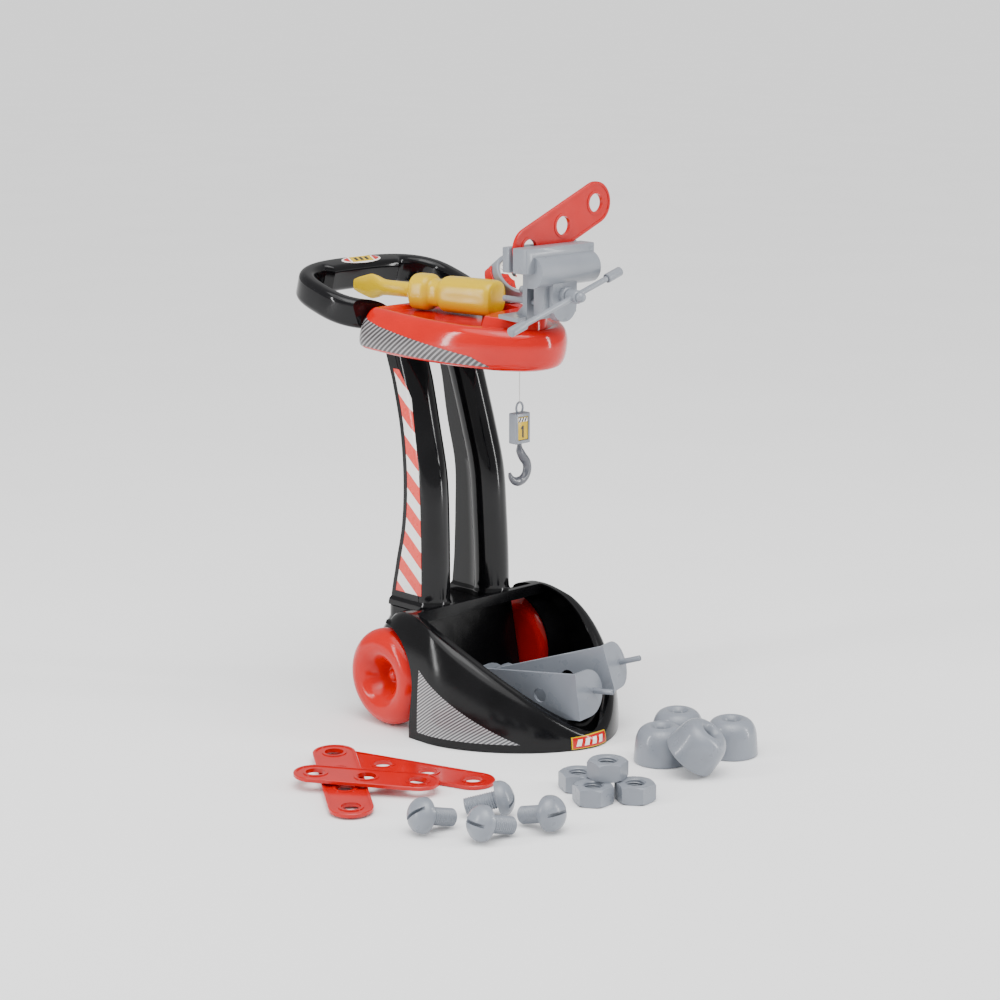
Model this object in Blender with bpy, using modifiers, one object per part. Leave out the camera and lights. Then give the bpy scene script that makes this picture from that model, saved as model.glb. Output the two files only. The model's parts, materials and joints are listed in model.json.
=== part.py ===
"""Toy mechanic's trolley with a vice, a crane hook and loose construction pieces.

Metres, +Z up. The nose of the trolley points to -Y, X runs across it, and the wheels turn
close to y = 0. Every wheel, the base and the loose pieces stand on z = 0.
"""
import math

import bmesh
import bpy
from mathutils import Matrix, Vector

# ---------------------------------------------------------------- driving dimensions
GAP = 0.0003                 # clearance kept between two pieces that touch

WHEEL_R = 0.0500
WHEEL_X = 0.0965             # middle plane of a wheel
WHEEL_HALF_W = 0.0165
AXLE_Y = -0.0050
AXLE_R = 0.003
AXLE_BORE_R = 0.0034

BASE_HALF_W = 0.1155         # footprint on the floor
BASE_REAR_Y = -0.004
BASE_NOSE_START = -0.080
BASE_NOSE_LEN = 0.125
BASE_NOSE_POWER = 1.66
RIM_HALF_W = 0.0935          # upper edge of the bin
RIM_NOSE_START = -0.065
RIM_NOSE_LEN = 0.124
RIM_NOSE_POWER = 1.75
RIM_TOP_Z = 0.1205
RIM_LIP_Z = 0.024
MOUTH_REAR_Y = -0.034
WALL = 0.003
FLOOR_Z = 0.006
WALL_ROLL = 2.5              # how squarely the outer wall rolls over into the rim

DECK_Z = 0.112
DECK_HALF_W = 0.0640         # top of the tower under the columns
DECK_REAR_Y = 0.0395
BOX_HALF_W = 0.0735          # foot of the tower between the wheels
BOX_REAR_Y = 0.055
BOX_SHOULDER_Z = 0.066
ARCH_R = 0.0575
LINER_T = 0.003
AXLE_RIB_T = 0.010           # cross rib under the deck that carries the axle, down to the floor
AXLE_RIB_TOP = 0.062
ARCH_INNER_X = 0.0722
REAR_WALL_TOP_Y = -0.007     # inner face of the bin's rear wall, under the deck
REAR_WALL_LOW_Y = -0.0275    # and at the floor

COLUMN_R = 0.0185
COLUMN_INNER = 0.0150        # from a column's centre to its flat inner side
COLUMN_OUTER = 0.0185        # and to its flat outer side
# height, outer rear edge, inner rear edge, centre of the round front, centre across
COLUMN_STATIONS = (
    (0.112, 0.0335, 0.0350, -0.0100, 0.0422),
    (0.150, 0.0265, 0.0310, -0.0098, 0.0418),
    (0.200, 0.0165, 0.0278, -0.0082, 0.0407),
    (0.250, 0.0150, 0.0270, -0.0045, 0.0397),
    (0.300, 0.0215, 0.0370, 0.0078, 0.0380),
    (0.345, 0.0345, 0.0430, 0.0205, 0.0360),
    (0.385, 0.0490, 0.0530, 0.0340, 0.0345),
)
FOOT_SCREW = (0.0420, 0.0080)
HEAD_SCREW = (0.0352, 0.0400)

TRAY_Z = 0.3765              # lower edge of the tray above the axle
TRAY_TILT = math.atan(0.06)  # the tray rises to the rear
TRAY_HALF_W = 0.082
TRAY_REAR_Y = 0.065
TRAY_NOSE_START = 0.030
TRAY_NOSE_Y = -0.140
TRAY_NOSE_POWER = 2.07
TRAY_CORNER_R = 0.018
TRAY_FLOOR = 0.0375          # heights above the tray's own lower edge
TRAY_FLOOR_SLOPE = -0.030    # the floor is nearer to level than the rim
TRAY_PLATFORM = 0.0500
COVER_BOTTOM = 0.0015
COVER_TOP = 0.0040

RING_HALF_W = 0.0920         # centre line of the handle ring
RING_LEN = 0.0535
RING_Y = 0.1010
RING_Z = 0.4165              # height of the centre line at RING_HEIGHT_Y
RING_HEIGHT_Y = 0.070
RING_SLOPE = 0.30
RING_POWER = 3.0
RING_THICK = 0.0175
RING_TALL = 0.030
GRIP_HALF_W = 0.044          # widened grip at the back of the ring
GRIP_EXTRA = 0.008

JAW_HALF_W = 0.047
JAW_TOP_Z = 0.4935
JAW_LOW_Z = 0.4690
FIXED_JAW_FRONT = -0.1275
FIXED_JAW_REAR = -0.1180
STRIP_T = 0.004
SLIDE_JAW_REAR = FIXED_JAW_FRONT - STRIP_T - 2 * GAP
SLIDE_JAW_FRONT = -0.1510
VICE_NECK_HALF_W = 0.0225
SCREW_Z = 0.4460
BAR_Y = -0.1700
BAR_R = 0.0028
BAR_CAP_R = 0.0048
BAR_CAP_LEN = 0.020
BAR_LEN = 0.157
BAR_SHIFT = -0.012           # the bar rests slid to its lower side
BAR_TILT = math.radians(16.8)

STRIP_PITCH = 0.0495
STRIP_W = 0.042
STRIP_HOLE_R = 0.0092

GAUGE_CENTRE = (0.0430, -0.0440, 0.4533)
GAUGE_R = 0.0225
GAUGE_DEPTH = 0.020
GAUGE_TILT = math.radians(55)   # angle of the dial's axis from +Z, towards -Y

HOOK_Y = -0.0945
HOOK_STRING_TOP = 0.3706
HOOK_STRING_R = 0.0005
HOOK_BLOCK_TOP = 0.3225
HOOK_BLOCK_H = 0.031
HOOK_BLOCK_W = 0.020
HOOK_BLOCK_T = 0.011

BEAM_LEN = 0.124
BEAM_CHORD = 0.0475
BEAM_DEPTH = 0.042
BEAM_T = 0.003
BEAM_HOLE_FROM_END = 0.047
BEAM_PEG_DEPTH = 0.029

NUT_FLATS = 0.034
NUT_H = 0.017
NUT_HOLE_R = 0.0092
BOLT_HEAD_R = 0.0165
BOLT_SHANK_R = 0.0083
BOLT_SHANK_LEN = 0.031

SMALL_WHEEL_R = 0.0265
SMALL_WHEEL_H = 0.036

BLACK = (0.012, 0.012, 0.014)
RED = (0.75, 0.02, 0.02)
GREY = (0.30, 0.32, 0.36)
YELLOW = (0.95, 0.78, 0.02)
STEEL = (0.55, 0.55, 0.56)
CREAM = (0.85, 0.83, 0.74)
WHITE = (0.85, 0.85, 0.85)


# ---------------------------------------------------------------- scene and helpers
for old in list(bpy.data.objects):
    bpy.data.objects.remove(old, do_unlink=True)

PARTS = bpy.data.collections.new("toy_workbench")
CUTTERS = bpy.data.collections.new("cutters")
bpy.context.scene.collection.children.link(PARTS)
bpy.context.scene.collection.children.link(CUTTERS)


def material(name, colour, roughness=0.3, metallic=0.0):
    mat = bpy.data.materials.get(name)
    if mat is None:
        mat = bpy.data.materials.new(name)
        mat.use_nodes = True
        shader = mat.node_tree.nodes["Principled BSDF"]
        shader.inputs["Base Color"].default_value = (*colour, 1.0)
        shader.inputs["Roughness"].default_value = roughness
        shader.inputs["Metallic"].default_value = metallic
    return mat


def own_material(name, colour, roughness=0.3, metallic=0.0):
    return material(name + "_plastic", colour, roughness, metallic)


def object_from(name, mesh, colour=None, collection=None, roughness=0.3, metallic=0.0):
    obj = bpy.data.objects.new(name, mesh)
    (collection or PARTS).objects.link(obj)
    if colour is not None:
        mesh.materials.append(own_material(name, colour, roughness, metallic))
    if collection is CUTTERS:
        obj.hide_render = True
        obj.display_type = "WIRE"
    return obj


def mesh_from(name, bm, smooth_angle=35.0):
    bmesh.ops.recalc_face_normals(bm, faces=bm.faces)
    mesh = bpy.data.meshes.new(name)
    bm.to_mesh(mesh)
    bm.free()
    mesh.shade_smooth()
    mesh.set_sharp_from_angle(angle=math.radians(smooth_angle))
    return mesh


def loft(rings, caps=True):
    """A bmesh through closed rings of equal point counts, with flat end caps."""
    bm = bmesh.new()
    loops = [[bm.verts.new(p) for p in ring] for ring in rings]
    count = len(rings[0])
    for low, high in zip(loops[:-1], loops[1:]):
        for i in range(count):
            j = (i + 1) % count
            bm.faces.new((low[i], low[j], high[j], high[i]))
    if caps:
        bm.faces.new(loops[0])
        bm.faces.new(loops[-1])
    else:
        for i in range(count):
            j = (i + 1) % count
            bm.faces.new((loops[-1][i], loops[-1][j], loops[0][j], loops[0][i]))
    return bm


def box(name, low, high, colour=None, collection=None, bevel=0.0):
    bm = bmesh.new()
    bmesh.ops.create_cube(bm, size=1.0)
    size = [h - l for l, h in zip(low, high)]
    middle = [(h + l) / 2 for l, h in zip(low, high)]
    bmesh.ops.scale(bm, vec=size, verts=bm.verts)
    bmesh.ops.translate(bm, vec=middle, verts=bm.verts)
    if bevel:
        bmesh.ops.bevel(bm, geom=list(bm.edges), offset=bevel, segments=2, profile=0.5,
                        affect="EDGES")
    return object_from(name, mesh_from(name, bm), colour, collection)


def rod(name, start, end, radius, colour=None, collection=None, sides=16, end_radius=None,
        bevel=0.0):
    """A round bar between two points."""
    start, end = Vector(start), Vector(end)
    axis = end - start
    bm = bmesh.new()
    bmesh.ops.create_cone(bm, cap_ends=True, segments=sides, radius1=radius,
                          radius2=radius if end_radius is None else end_radius,
                          depth=axis.length)
    if bevel:
        rims = [e for e in bm.edges if all(abs(abs(v.co.z) - axis.length / 2) < 1e-6
                                           for v in e.verts)]
        bmesh.ops.bevel(bm, geom=rims, offset=bevel, segments=1, affect="EDGES")
    turn = Vector((0, 0, 1)).rotation_difference(axis.normalized()).to_matrix().to_4x4()
    bmesh.ops.transform(bm, matrix=Matrix.Translation((start + end) / 2) @ turn, verts=bm.verts)
    return object_from(name, mesh_from(name, bm), colour, collection)


def prism(name, outline, low, high, axis="x", colour=None, collection=None, bevel=0.0):
    """An outline in the plane across the axis, extruded from low to high along it."""
    def place(a, b, c):
        return {"x": (c, a, b), "y": (a, c, b), "z": (a, b, c)}[axis]
    rings = [[place(a, b, c) for a, b in outline] for c in (low, high)]
    bm = loft(rings)
    if bevel:
        bmesh.ops.bevel(bm, geom=list(bm.edges), offset=bevel, segments=2, profile=0.5,
                        affect="EDGES")
    return object_from(name, mesh_from(name, bm), colour, collection)


def arc(cx, cy, radius, start, stop, steps):
    """Points of an arc, angles in degrees, both ends included."""
    points = []
    for i in range(steps + 1):
        a = math.radians(start + (stop - start) * i / steps)
        points.append((cx + radius * math.cos(a), cy + radius * math.sin(a)))
    return points


def turned(name, profile, steps, matrix, colour=None, collection=None, roughness=0.3,
           metallic=0.0):
    """A profile of (radius, height) points, down the outer side, turned about its Z."""
    mesh = bpy.data.meshes.new(name)
    closed = profile[0][0] > 1e-6
    edges = [(i, i + 1) for i in range(len(profile) - 1)]
    if closed:
        edges.append((len(profile) - 1, 0))
    mesh.from_pydata([(r, 0.0, h) for r, h in profile], edges, [])
    obj = object_from(name, mesh, colour, collection, roughness, metallic)
    screw = obj.modifiers.new("Turn", "SCREW")
    screw.axis = "Z"
    screw.angle = math.radians(360)
    screw.steps = steps
    screw.render_steps = steps
    screw.use_merge_vertices = True
    screw.merge_threshold = 0.00001
    screw.use_smooth_shade = True
    obj.matrix_world = matrix
    return obj


def hang_on(obj, point):
    """Put an object's origin on its joint's axis; the shape stays where it is."""
    obj.data.transform(Matrix.Translation(-Vector(point)))
    obj.location = point
    return obj


def boolean(target, cutter, operation="DIFFERENCE"):
    mod = target.modifiers.new(cutter.name, "BOOLEAN")
    mod.operation = operation
    mod.object = cutter
    mod.solver = "EXACT"
    return target


def superellipse_xy(t, half_w, start_y, length, power):
    """Quarter of a pointed nose: t = 0 at its side, t = 1 at its tip."""
    a = math.radians(90 * t)
    x = half_w * max(math.cos(a), 0.0) ** (2 / power)
    y = start_y - length * math.sin(a) ** (2 / power)
    return x, y


def spline(stations, value, column):
    """Smooth value of one column of a table, at a given first column (Catmull-Rom)."""
    keys = [s[0] for s in stations]
    i = max(0, min(len(keys) - 2, sum(1 for k in keys[1:] if k <= value)))
    t = (value - keys[i]) / (keys[i + 1] - keys[i])
    p1, p2 = stations[i][column], stations[i + 1][column]
    p0 = stations[max(i - 1, 0)][column]
    p3 = stations[min(i + 2, len(keys) - 1)][column]
    return 0.5 * (2 * p1 + (p2 - p0) * t + (2 * p0 - 5 * p1 + 4 * p2 - p3) * t * t
                  + (3 * p1 - p0 - 3 * p2 + p3) * t ** 3)


# ---------------------------------------------------------------- base bin
def rim_height(y):
    """Height of the bin's edge: level at the deck, then down to the lip at the nose."""
    nose_y = RIM_NOSE_START - RIM_NOSE_LEN
    t = (MOUTH_REAR_Y - y) / (MOUTH_REAR_Y - nose_y)
    t = min(max(t, 0.0), 1.0)
    return RIM_TOP_Z - (RIM_TOP_Z - RIM_LIP_Z) * t ** 1.6 - 0.0075 * t ** 12


def base_stations(wall=0.0):
    """Pairs of foot and rim points along one side, from the rear to the tip of the nose."""
    pairs = []
    for y, rim_x in ((BASE_REAR_Y, 0.0880), (-0.020, 0.0888), (MOUTH_REAR_Y, 0.0900),
                     (-0.050, 0.0925)):
        pairs.append(((BASE_HALF_W - wall, y), (rim_x - wall * 0.75, y)))
    steps = 9
    for i in range(steps + 1):
        t = i / steps
        foot = superellipse_xy(t, BASE_HALF_W - wall, BASE_NOSE_START, BASE_NOSE_LEN - wall,
                               BASE_NOSE_POWER)
        rim = superellipse_xy(t, RIM_HALF_W - wall * 0.75, RIM_NOSE_START,
                              RIM_NOSE_LEN - wall * 0.75, RIM_NOSE_POWER)
        pairs.append((foot, rim))
    return pairs


def wall_section(foot, rim, low, high, steps=7):
    """Points up a wall that starts upright at the floor and rolls over into the rim."""
    points = []
    for i in range(steps + 1):
        a = math.radians(90 * i / steps)
        inward = 1 - max(math.cos(a), 0.0) ** (2 / WALL_ROLL)
        up = math.sin(a) ** (2 / WALL_ROLL)
        points.append((foot[0] + (rim[0] - foot[0]) * inward,
                       foot[1] + (rim[1] - foot[1]) * inward,
                       low + (high - low) * up))
    return points


def hull_solid(name, sections, colour=None, collection=None):
    """Closed solid from wall sections of one side, mirrored, with a lid and a floor."""
    bm = bmesh.new()
    right = [[bm.verts.new(p) for p in s] for s in sections]
    left = [[bm.verts.new((-p[0], p[1], p[2])) for p in s] for s in sections[:-1]]
    around = right + left[::-1]
    levels = len(sections[0])
    for a, b in zip(around[:-1], around[1:]):
        for k in range(levels - 1):
            bm.faces.new((a[k], b[k], b[k + 1], a[k + 1]))
    bm.faces.new(around[0] + around[-1][::-1])
    for level in (0, levels - 1):
        for i in range(len(left) - 1):
            bm.faces.new((right[i][level], right[i + 1][level],
                          left[i + 1][level], left[i][level]))
        last = len(left) - 1
        bm.faces.new((right[last][level], right[last + 1][level], left[last][level]))
    return object_from(name, mesh_from(name, bm), colour, collection)


def arch_prism(name, side, grow, inner_x, outer_x):
    """Wheel well: round above the axle, straight down in front of the wheel below it."""
    front = ARCH_R + grow
    outline = [(-front + 0.0035, -0.012), (-front + 0.0035, 0.0120), (-front + 0.0006, 0.0400)]
    outline += [(-y, z) for y, z in arc(0, WHEEL_R, front, 0, 180, 24)]
    outline += [(front, -0.012)]
    low, high = sorted((side * inner_x, side * outer_x))
    return prism(name, outline, low, high, collection=CUTTERS)


def tower_solid(name, inset, levels):
    """Block under the columns: broad at its foot, drawn in to the deck at the top."""
    rings = []
    for at_foot, front_y, z in levels:
        half = (BOX_HALF_W if at_foot else DECK_HALF_W) - inset
        rear = (BOX_REAR_Y if at_foot else DECK_REAR_Y) - inset
        plan = [(-half, front_y), (half, front_y), (half, rear - 0.016), (half - 0.012, rear),
                (-half + 0.012, rear), (-half, rear - 0.016)]
        rings.append([(x, y, z) for x, y in plan])
    return object_from(name, mesh_from(name, loft(rings)), collection=CUTTERS)


def base_bin():
    outer = []
    for foot, rim in base_stations():
        outer.append(wall_section(foot, rim, 0.0, rim_height(rim[1])))
    # the rear end of each wheel cover is rounded off
    outer[0] = [(x - 0.006 * (z / RIM_TOP_Z) ** 4, y, z * (1 - 0.06 * (z / RIM_TOP_Z) ** 4))
                for x, y, z in outer[0]]
    base = hull_solid("base_bin", outer, BLACK)

    front = MOUTH_REAR_Y + 0.001
    tower = tower_solid("base_tower", 0.0, ((True, front, 0.0), (True, front, BOX_SHOULDER_Z),
                                            (False, front, DECK_Z - 0.012),
                                            (False, front, RIM_TOP_Z - 0.002)))
    boolean(base, tower, "UNION")
    deck = box("deck_cut", (-0.0795, MOUTH_REAR_Y + 0.003, DECK_Z), (0.0795, 0.09, 0.2),
               collection=CUTTERS)
    boolean(base, deck)
    boolean(base, rod("axle_hole_cut", (-0.0785, AXLE_Y, WHEEL_R), (0.0785, AXLE_Y, WHEEL_R),
                      AXLE_BORE_R, collection=CUTTERS))

    inner = []
    for foot, rim in base_stations(WALL)[2:]:
        top = rim_height(rim[1])
        section = wall_section(foot, rim, FLOOR_Z, top - WALL * 0.8)
        inner.append(section + [(rim[0], rim[1], top + 0.03)])
    shift = [(x, min(y, MOUTH_REAR_Y - 0.0025), z) for x, y, z in inner[0]]
    inner[0] = shift
    boolean(base, hull_solid("bin_cut", inner, collection=CUTTERS))
    under_deck = [(-0.045, FLOOR_Z), (REAR_WALL_LOW_Y, FLOOR_Z), (REAR_WALL_TOP_Y, DECK_Z - WALL),
                  (-0.045, DECK_Z - WALL)]
    boolean(base, prism("under_deck_cut", under_deck, -0.097, 0.097, collection=CUTTERS))

    middle = []
    for foot, rim in base_stations(WALL / 2):
        section = wall_section(foot, rim, 0.0020, rim_height(rim[1]) - WALL / 2)
        middle.append([(x, min(y, BASE_REAR_Y - 0.001), z) for x, y, z in section])
    for side, tag in ((-1, "left"), (1, "right")):
        liner = arch_prism("wheel_well_" + tag, side, LINER_T, ARCH_INNER_X + 0.007, 0.1300)
        boolean(liner, hull_solid("wheel_well_limit_" + tag, middle, collection=CUTTERS),
                "INTERSECT")
        boolean(base, liner, "UNION")
        boolean(base, arch_prism("arch_cut_" + tag, side, 0.0, ARCH_INNER_X, 0.1400))

    below = []
    for foot, _ in base_stations(WALL)[1:]:
        below.append([(foot[0], foot[1], -0.01), (foot[0], foot[1], FLOOR_Z - 0.0025)])
    boolean(base, hull_solid("underside_cut", below, collection=CUTTERS))
    slope = (REAR_WALL_TOP_Y - REAR_WALL_LOW_Y) / (DECK_Z - FLOOR_Z)
    hollow = [(foot, REAR_WALL_LOW_Y + WALL + slope * (z - FLOOR_Z), z) for foot, z in (
        (True, -0.01), (True, BOX_SHOULDER_Z - 0.001), (False, DECK_Z - 0.0135),
        (False, DECK_Z - WALL))]
    tower_hollow = tower_solid("tower_hollow_cut", WALL, hollow)
    boolean(tower_hollow, box("axle_rib_kept", (-0.1, AXLE_Y - AXLE_RIB_T / 2, -0.02),
                              (0.1, AXLE_Y + AXLE_RIB_T / 2, AXLE_RIB_TOP), collection=CUTTERS))
    boolean(base, tower_hollow)
    for side, tag in ((-1, "left"), (1, "right")):
        x, y = side * FOOT_SCREW[0], FOOT_SCREW[1]
        boolean(base, rod("screw_hole_cut_" + tag, (x, y, DECK_Z - 0.01), (x, y, DECK_Z + 0.01),
                          0.0024, collection=CUTTERS, sides=12))
    return base


# ---------------------------------------------------------------- wheels and axle
def wheel_profile():
    """Fat tyre shape with a deep dished hub on the outer side (+Z of the profile)."""
    tube_r = 0.0158
    ring_r = WHEEL_R - tube_r
    outer = [(ring_r + tube_r * math.cos(math.radians(a)),
              WHEEL_HALF_W * math.sin(math.radians(a))) for a in range(90, -91, -20)]
    inner_side = [(0.0120, -WHEEL_HALF_W), (AXLE_BORE_R, -WHEEL_HALF_W)]
    dish = [(AXLE_BORE_R, -0.0080), (0.0085, -0.0080), (0.0100, -0.0070)]
    lip = [(ring_r + tube_r * math.cos(math.radians(a)) * 0.98,
            WHEEL_HALF_W * math.sin(math.radians(a))) for a in (160, 125)]
    return outer + inner_side + dish + lip


def axle_along_x(x, z, side):
    """Frame whose Z points out of the trolley, sideways."""
    turn = Matrix.Rotation(math.radians(90) * side, 4, "Y")
    return Matrix.Translation((x, AXLE_Y, z)) @ turn


def wheels():
    for side, tag in ((-1, "left"), (1, "right")):
        turned("wheel_" + tag, wheel_profile(), 30, axle_along_x(side * WHEEL_X, WHEEL_R, side),
               RED, roughness=0.2)
        cap = [(0.0, 0.0040), (0.0035, 0.0034), (0.0058, 0.0014), (0.0062, 0.0),
               (0.0062, -0.0030), (AXLE_R + GAP, -0.0030), (AXLE_R + GAP, 0.0002), (0.0, 0.0002)]
        x = side * (WHEEL_X - 0.0080 + 0.0030 + GAP)
        turned("axle_cap_" + tag, cap, 16, axle_along_x(x, WHEEL_R, side), RED, roughness=0.3)
    half = WHEEL_X - 0.0080 + 0.0030
    rod("axle", (-half, AXLE_Y, WHEEL_R), (half, AXLE_Y, WHEEL_R), AXLE_R, STEEL, sides=16)


# ---------------------------------------------------------------- columns
def tray_height(y, local=0.0):
    """World height of a level of the tilted tray at y."""
    return TRAY_Z + local + math.tan(TRAY_TILT) * y


def column_outline(z, grow=0.0):
    """Plan of a right-hand column at a height: flat back and sides, round front."""
    outer_y, inner_y, front_y, middle = [spline(COLUMN_STATIONS, z, k) for k in range(1, 5)]
    radius = COLUMN_R + grow
    inner_x, outer_x = middle - COLUMN_INNER - grow, middle + COLUMN_OUTER + grow
    outer_y, inner_y = outer_y + grow, inner_y + grow
    points = [(inner_x, inner_y), ((inner_x + outer_x) / 2, (inner_y + outer_y) / 2),
              (outer_x, outer_y), (outer_x, (outer_y + front_y) / 2)]
    points += arc(middle, front_y, radius, 0, -180 - 35.8, 14)
    points[-1] = (inner_x, points[-1][1])
    points.append((inner_x, (inner_y + points[-1][1]) / 2))
    return points


def column(side, tag):
    heights = [DECK_Z + GAP, 0.118, 0.121, 0.135, 0.155, 0.18, 0.205, 0.23, 0.255, 0.28,
               0.305, 0.325, 0.345, 0.365, 0.385]
    rings = []
    for i, z in enumerate(heights):
        ring = []
        for x, y in column_outline(z, 0.0016 if i < 2 else 0.0):
            top = min(z, tray_height(y, COVER_BOTTOM) - GAP)
            ring.append((side * x, y, top))
        rings.append(ring)
    obj = object_from("column_" + tag, mesh_from("column_" + tag, loft(rings)), BLACK,
                      roughness=0.15)
    for end, (x, y), z in (("foot", FOOT_SCREW, DECK_Z), ("head", HEAD_SCREW,
                                                          tray_height(HEAD_SCREW[1]))):
        boolean(obj, rod(end + "_pilot_" + tag, (side * x, y, z - 0.014), (side * x, y, z + 0.014),
                         0.0019, collection=CUTTERS, sides=12))


def column_screw(name, x, y, head_z, up):
    """Pan-head screw; up = 1 when its shank points up."""
    profile = [(0.0, 0.0105), (0.0010, 0.0100), (0.0016, 0.0090), (0.0016, 0.0),
               (0.0036, 0.0), (0.0036, -0.0012), (0.0028, -0.0022), (0.0, -0.0025)]
    turn = Matrix.Rotation(0 if up > 0 else math.pi, 4, "X")
    turned(name, profile, 12, Matrix.Translation((x, y, head_z)) @ turn, STEEL,
           roughness=0.3, metallic=0.9)


def screws():
    for side, tag in ((-1, "left"), (1, "right")):
        column_screw("foot_screw_" + tag, side * FOOT_SCREW[0], FOOT_SCREW[1],
                     DECK_Z - WALL - GAP, 1)
        column_screw("head_screw_" + tag, side * HEAD_SCREW[0], HEAD_SCREW[1],
                     tray_height(HEAD_SCREW[1], COVER_TOP) + GAP + 0.0003, -1)


# ---------------------------------------------------------------- tray
def tray_outline(inset=0.0, steps=8):
    """Plan of the tray: square rear with rounded corners, pointed round nose."""
    half = TRAY_HALF_W - inset
    rear = TRAY_REAR_Y - inset
    corner = max(TRAY_CORNER_R - inset, 0.003)
    points = arc(half - corner, rear - corner, corner, 90, 0, 4)
    length = TRAY_NOSE_START - TRAY_NOSE_Y - inset
    nose = [superellipse_xy(i / steps, half, TRAY_NOSE_START, length, TRAY_NOSE_POWER)
            for i in range(steps + 1)]
    points += nose
    return points + [(-x, y) for x, y in points[-2::-1]]


def tray_matrix():
    return Matrix.Translation((0, 0, TRAY_Z)) @ Matrix.Rotation(TRAY_TILT, 4, "X")


def tray_ring(rear, nose, z, slope=0.0):
    """The tray's plan pulled inwards by one amount at the rear and another at the nose."""
    ring = []
    for (ax, ay), (bx, by) in zip(tray_outline(rear), tray_outline(nose)):
        t = min(max((0.045 - ay) / 0.15, 0.0), 1.0)
        t = t * t * (3 - 2 * t)
        y = ay + (by - ay) * t
        ring.append((ax + (bx - ax) * t, y, z + slope * y))
    return ring


def tray_blank(name, grow, colour=None, collection=None):
    """Outer shape of the tray with its rolled edge; grow makes a slightly larger copy."""
    levels = ((0.0040, 0.0110, 0.0), (0.0008, 0.0050, 0.0030), (0.0, 0.0018, 0.0090),
              (0.0012, 0.0002, 0.0180), (0.0045, 0.0, 0.0270), (0.0085, 0.0022, 0.0350),
              (0.0125, 0.0060, 0.0395), (0.0170, 0.0105, 0.0412), (0.0215, 0.0165, 0.0402))
    rings = [tray_ring(rear - grow, nose - grow, z) for rear, nose, z in levels]
    rings.append(tray_ring(0.0250, 0.0205, TRAY_FLOOR + 0.0006, TRAY_FLOOR_SLOPE))
    rings.append(tray_ring(0.0280, 0.0235, TRAY_FLOOR, TRAY_FLOOR_SLOPE))
    blank = object_from(name, mesh_from(name, loft(rings)), colour, collection, roughness=0.15)
    blank.matrix_world = tray_matrix()
    return blank


def tray():
    top = tray_blank("tray", 0.0, RED)
    inside = ((0.0070, 0.0170, -0.01), (0.0070, 0.0170, 0.0040), (0.0062, 0.0050, 0.0200),
              (0.0130, 0.0085, 0.0280))
    cut = object_from("tray_hollow_cut", mesh_from("tray_hollow_cut", loft(
        [tray_ring(*level) for level in inside])), collection=CUTTERS)
    cut.matrix_world = tray_matrix()

    def platform_outline(grow):
        """The raised seat of the vice at the nose, with a pad for the gauge beside it."""
        nose = [(x * 0.60, y * 0.86) for x, y in tray_outline() if y < (-0.05 if x > 0 else -0.09)]
        half = nose[0][0]
        points = [(half, -0.012)] + nose + [(-0.010, -0.070), (0.0265, -0.064), (0.0290, -0.012)]
        middle = (0.026, -0.075)
        return [(px + (px - middle[0]) * grow, py + (py - middle[1]) * grow)
                for px, py in points]
    step = loft([[(x, y, z) for x, y in platform_outline(grow)]
                 for grow, z in ((0.10, 0.0315), (0.06, 0.0400), (0.0, TRAY_PLATFORM))])
    seat = object_from("tray_platform", mesh_from("tray_platform", step), collection=CUTTERS)
    seat.matrix_world = tray_matrix()
    boolean(boolean(top, seat, "UNION"), cut)

    plate = loft([tray_ring(0.0076, 0.0176, z) for z in (COVER_BOTTOM, COVER_TOP)])
    cover = object_from("tray_cover", mesh_from("tray_cover", plate), BLACK)
    cover.matrix_world = tray_matrix()
    for side, tag in ((-1, "left"), (1, "right")):
        x, y, z = side * HEAD_SCREW[0], HEAD_SCREW[1], tray_height(HEAD_SCREW[1])
        boolean(cover, rod("cover_hole_" + tag, (x, y, z - 0.01), (x, y, z + 0.02), 0.0024,
                           collection=CUTTERS, sides=12))


# ---------------------------------------------------------------- handle ring
def ring_point(t):
    """Centre of the handle ring at t in 0..1 around it, and its outward direction in plan."""
    a = 2 * math.pi * t
    c, s = math.cos(a), math.sin(a)
    x = RING_HALF_W * math.copysign(abs(c) ** (2 / RING_POWER), c)
    y = RING_Y + RING_LEN * math.copysign(abs(s) ** (2 / RING_POWER), s)
    z = RING_Z + RING_SLOPE * (y - RING_HEIGHT_Y)
    return Vector((x, y, z))


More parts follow.
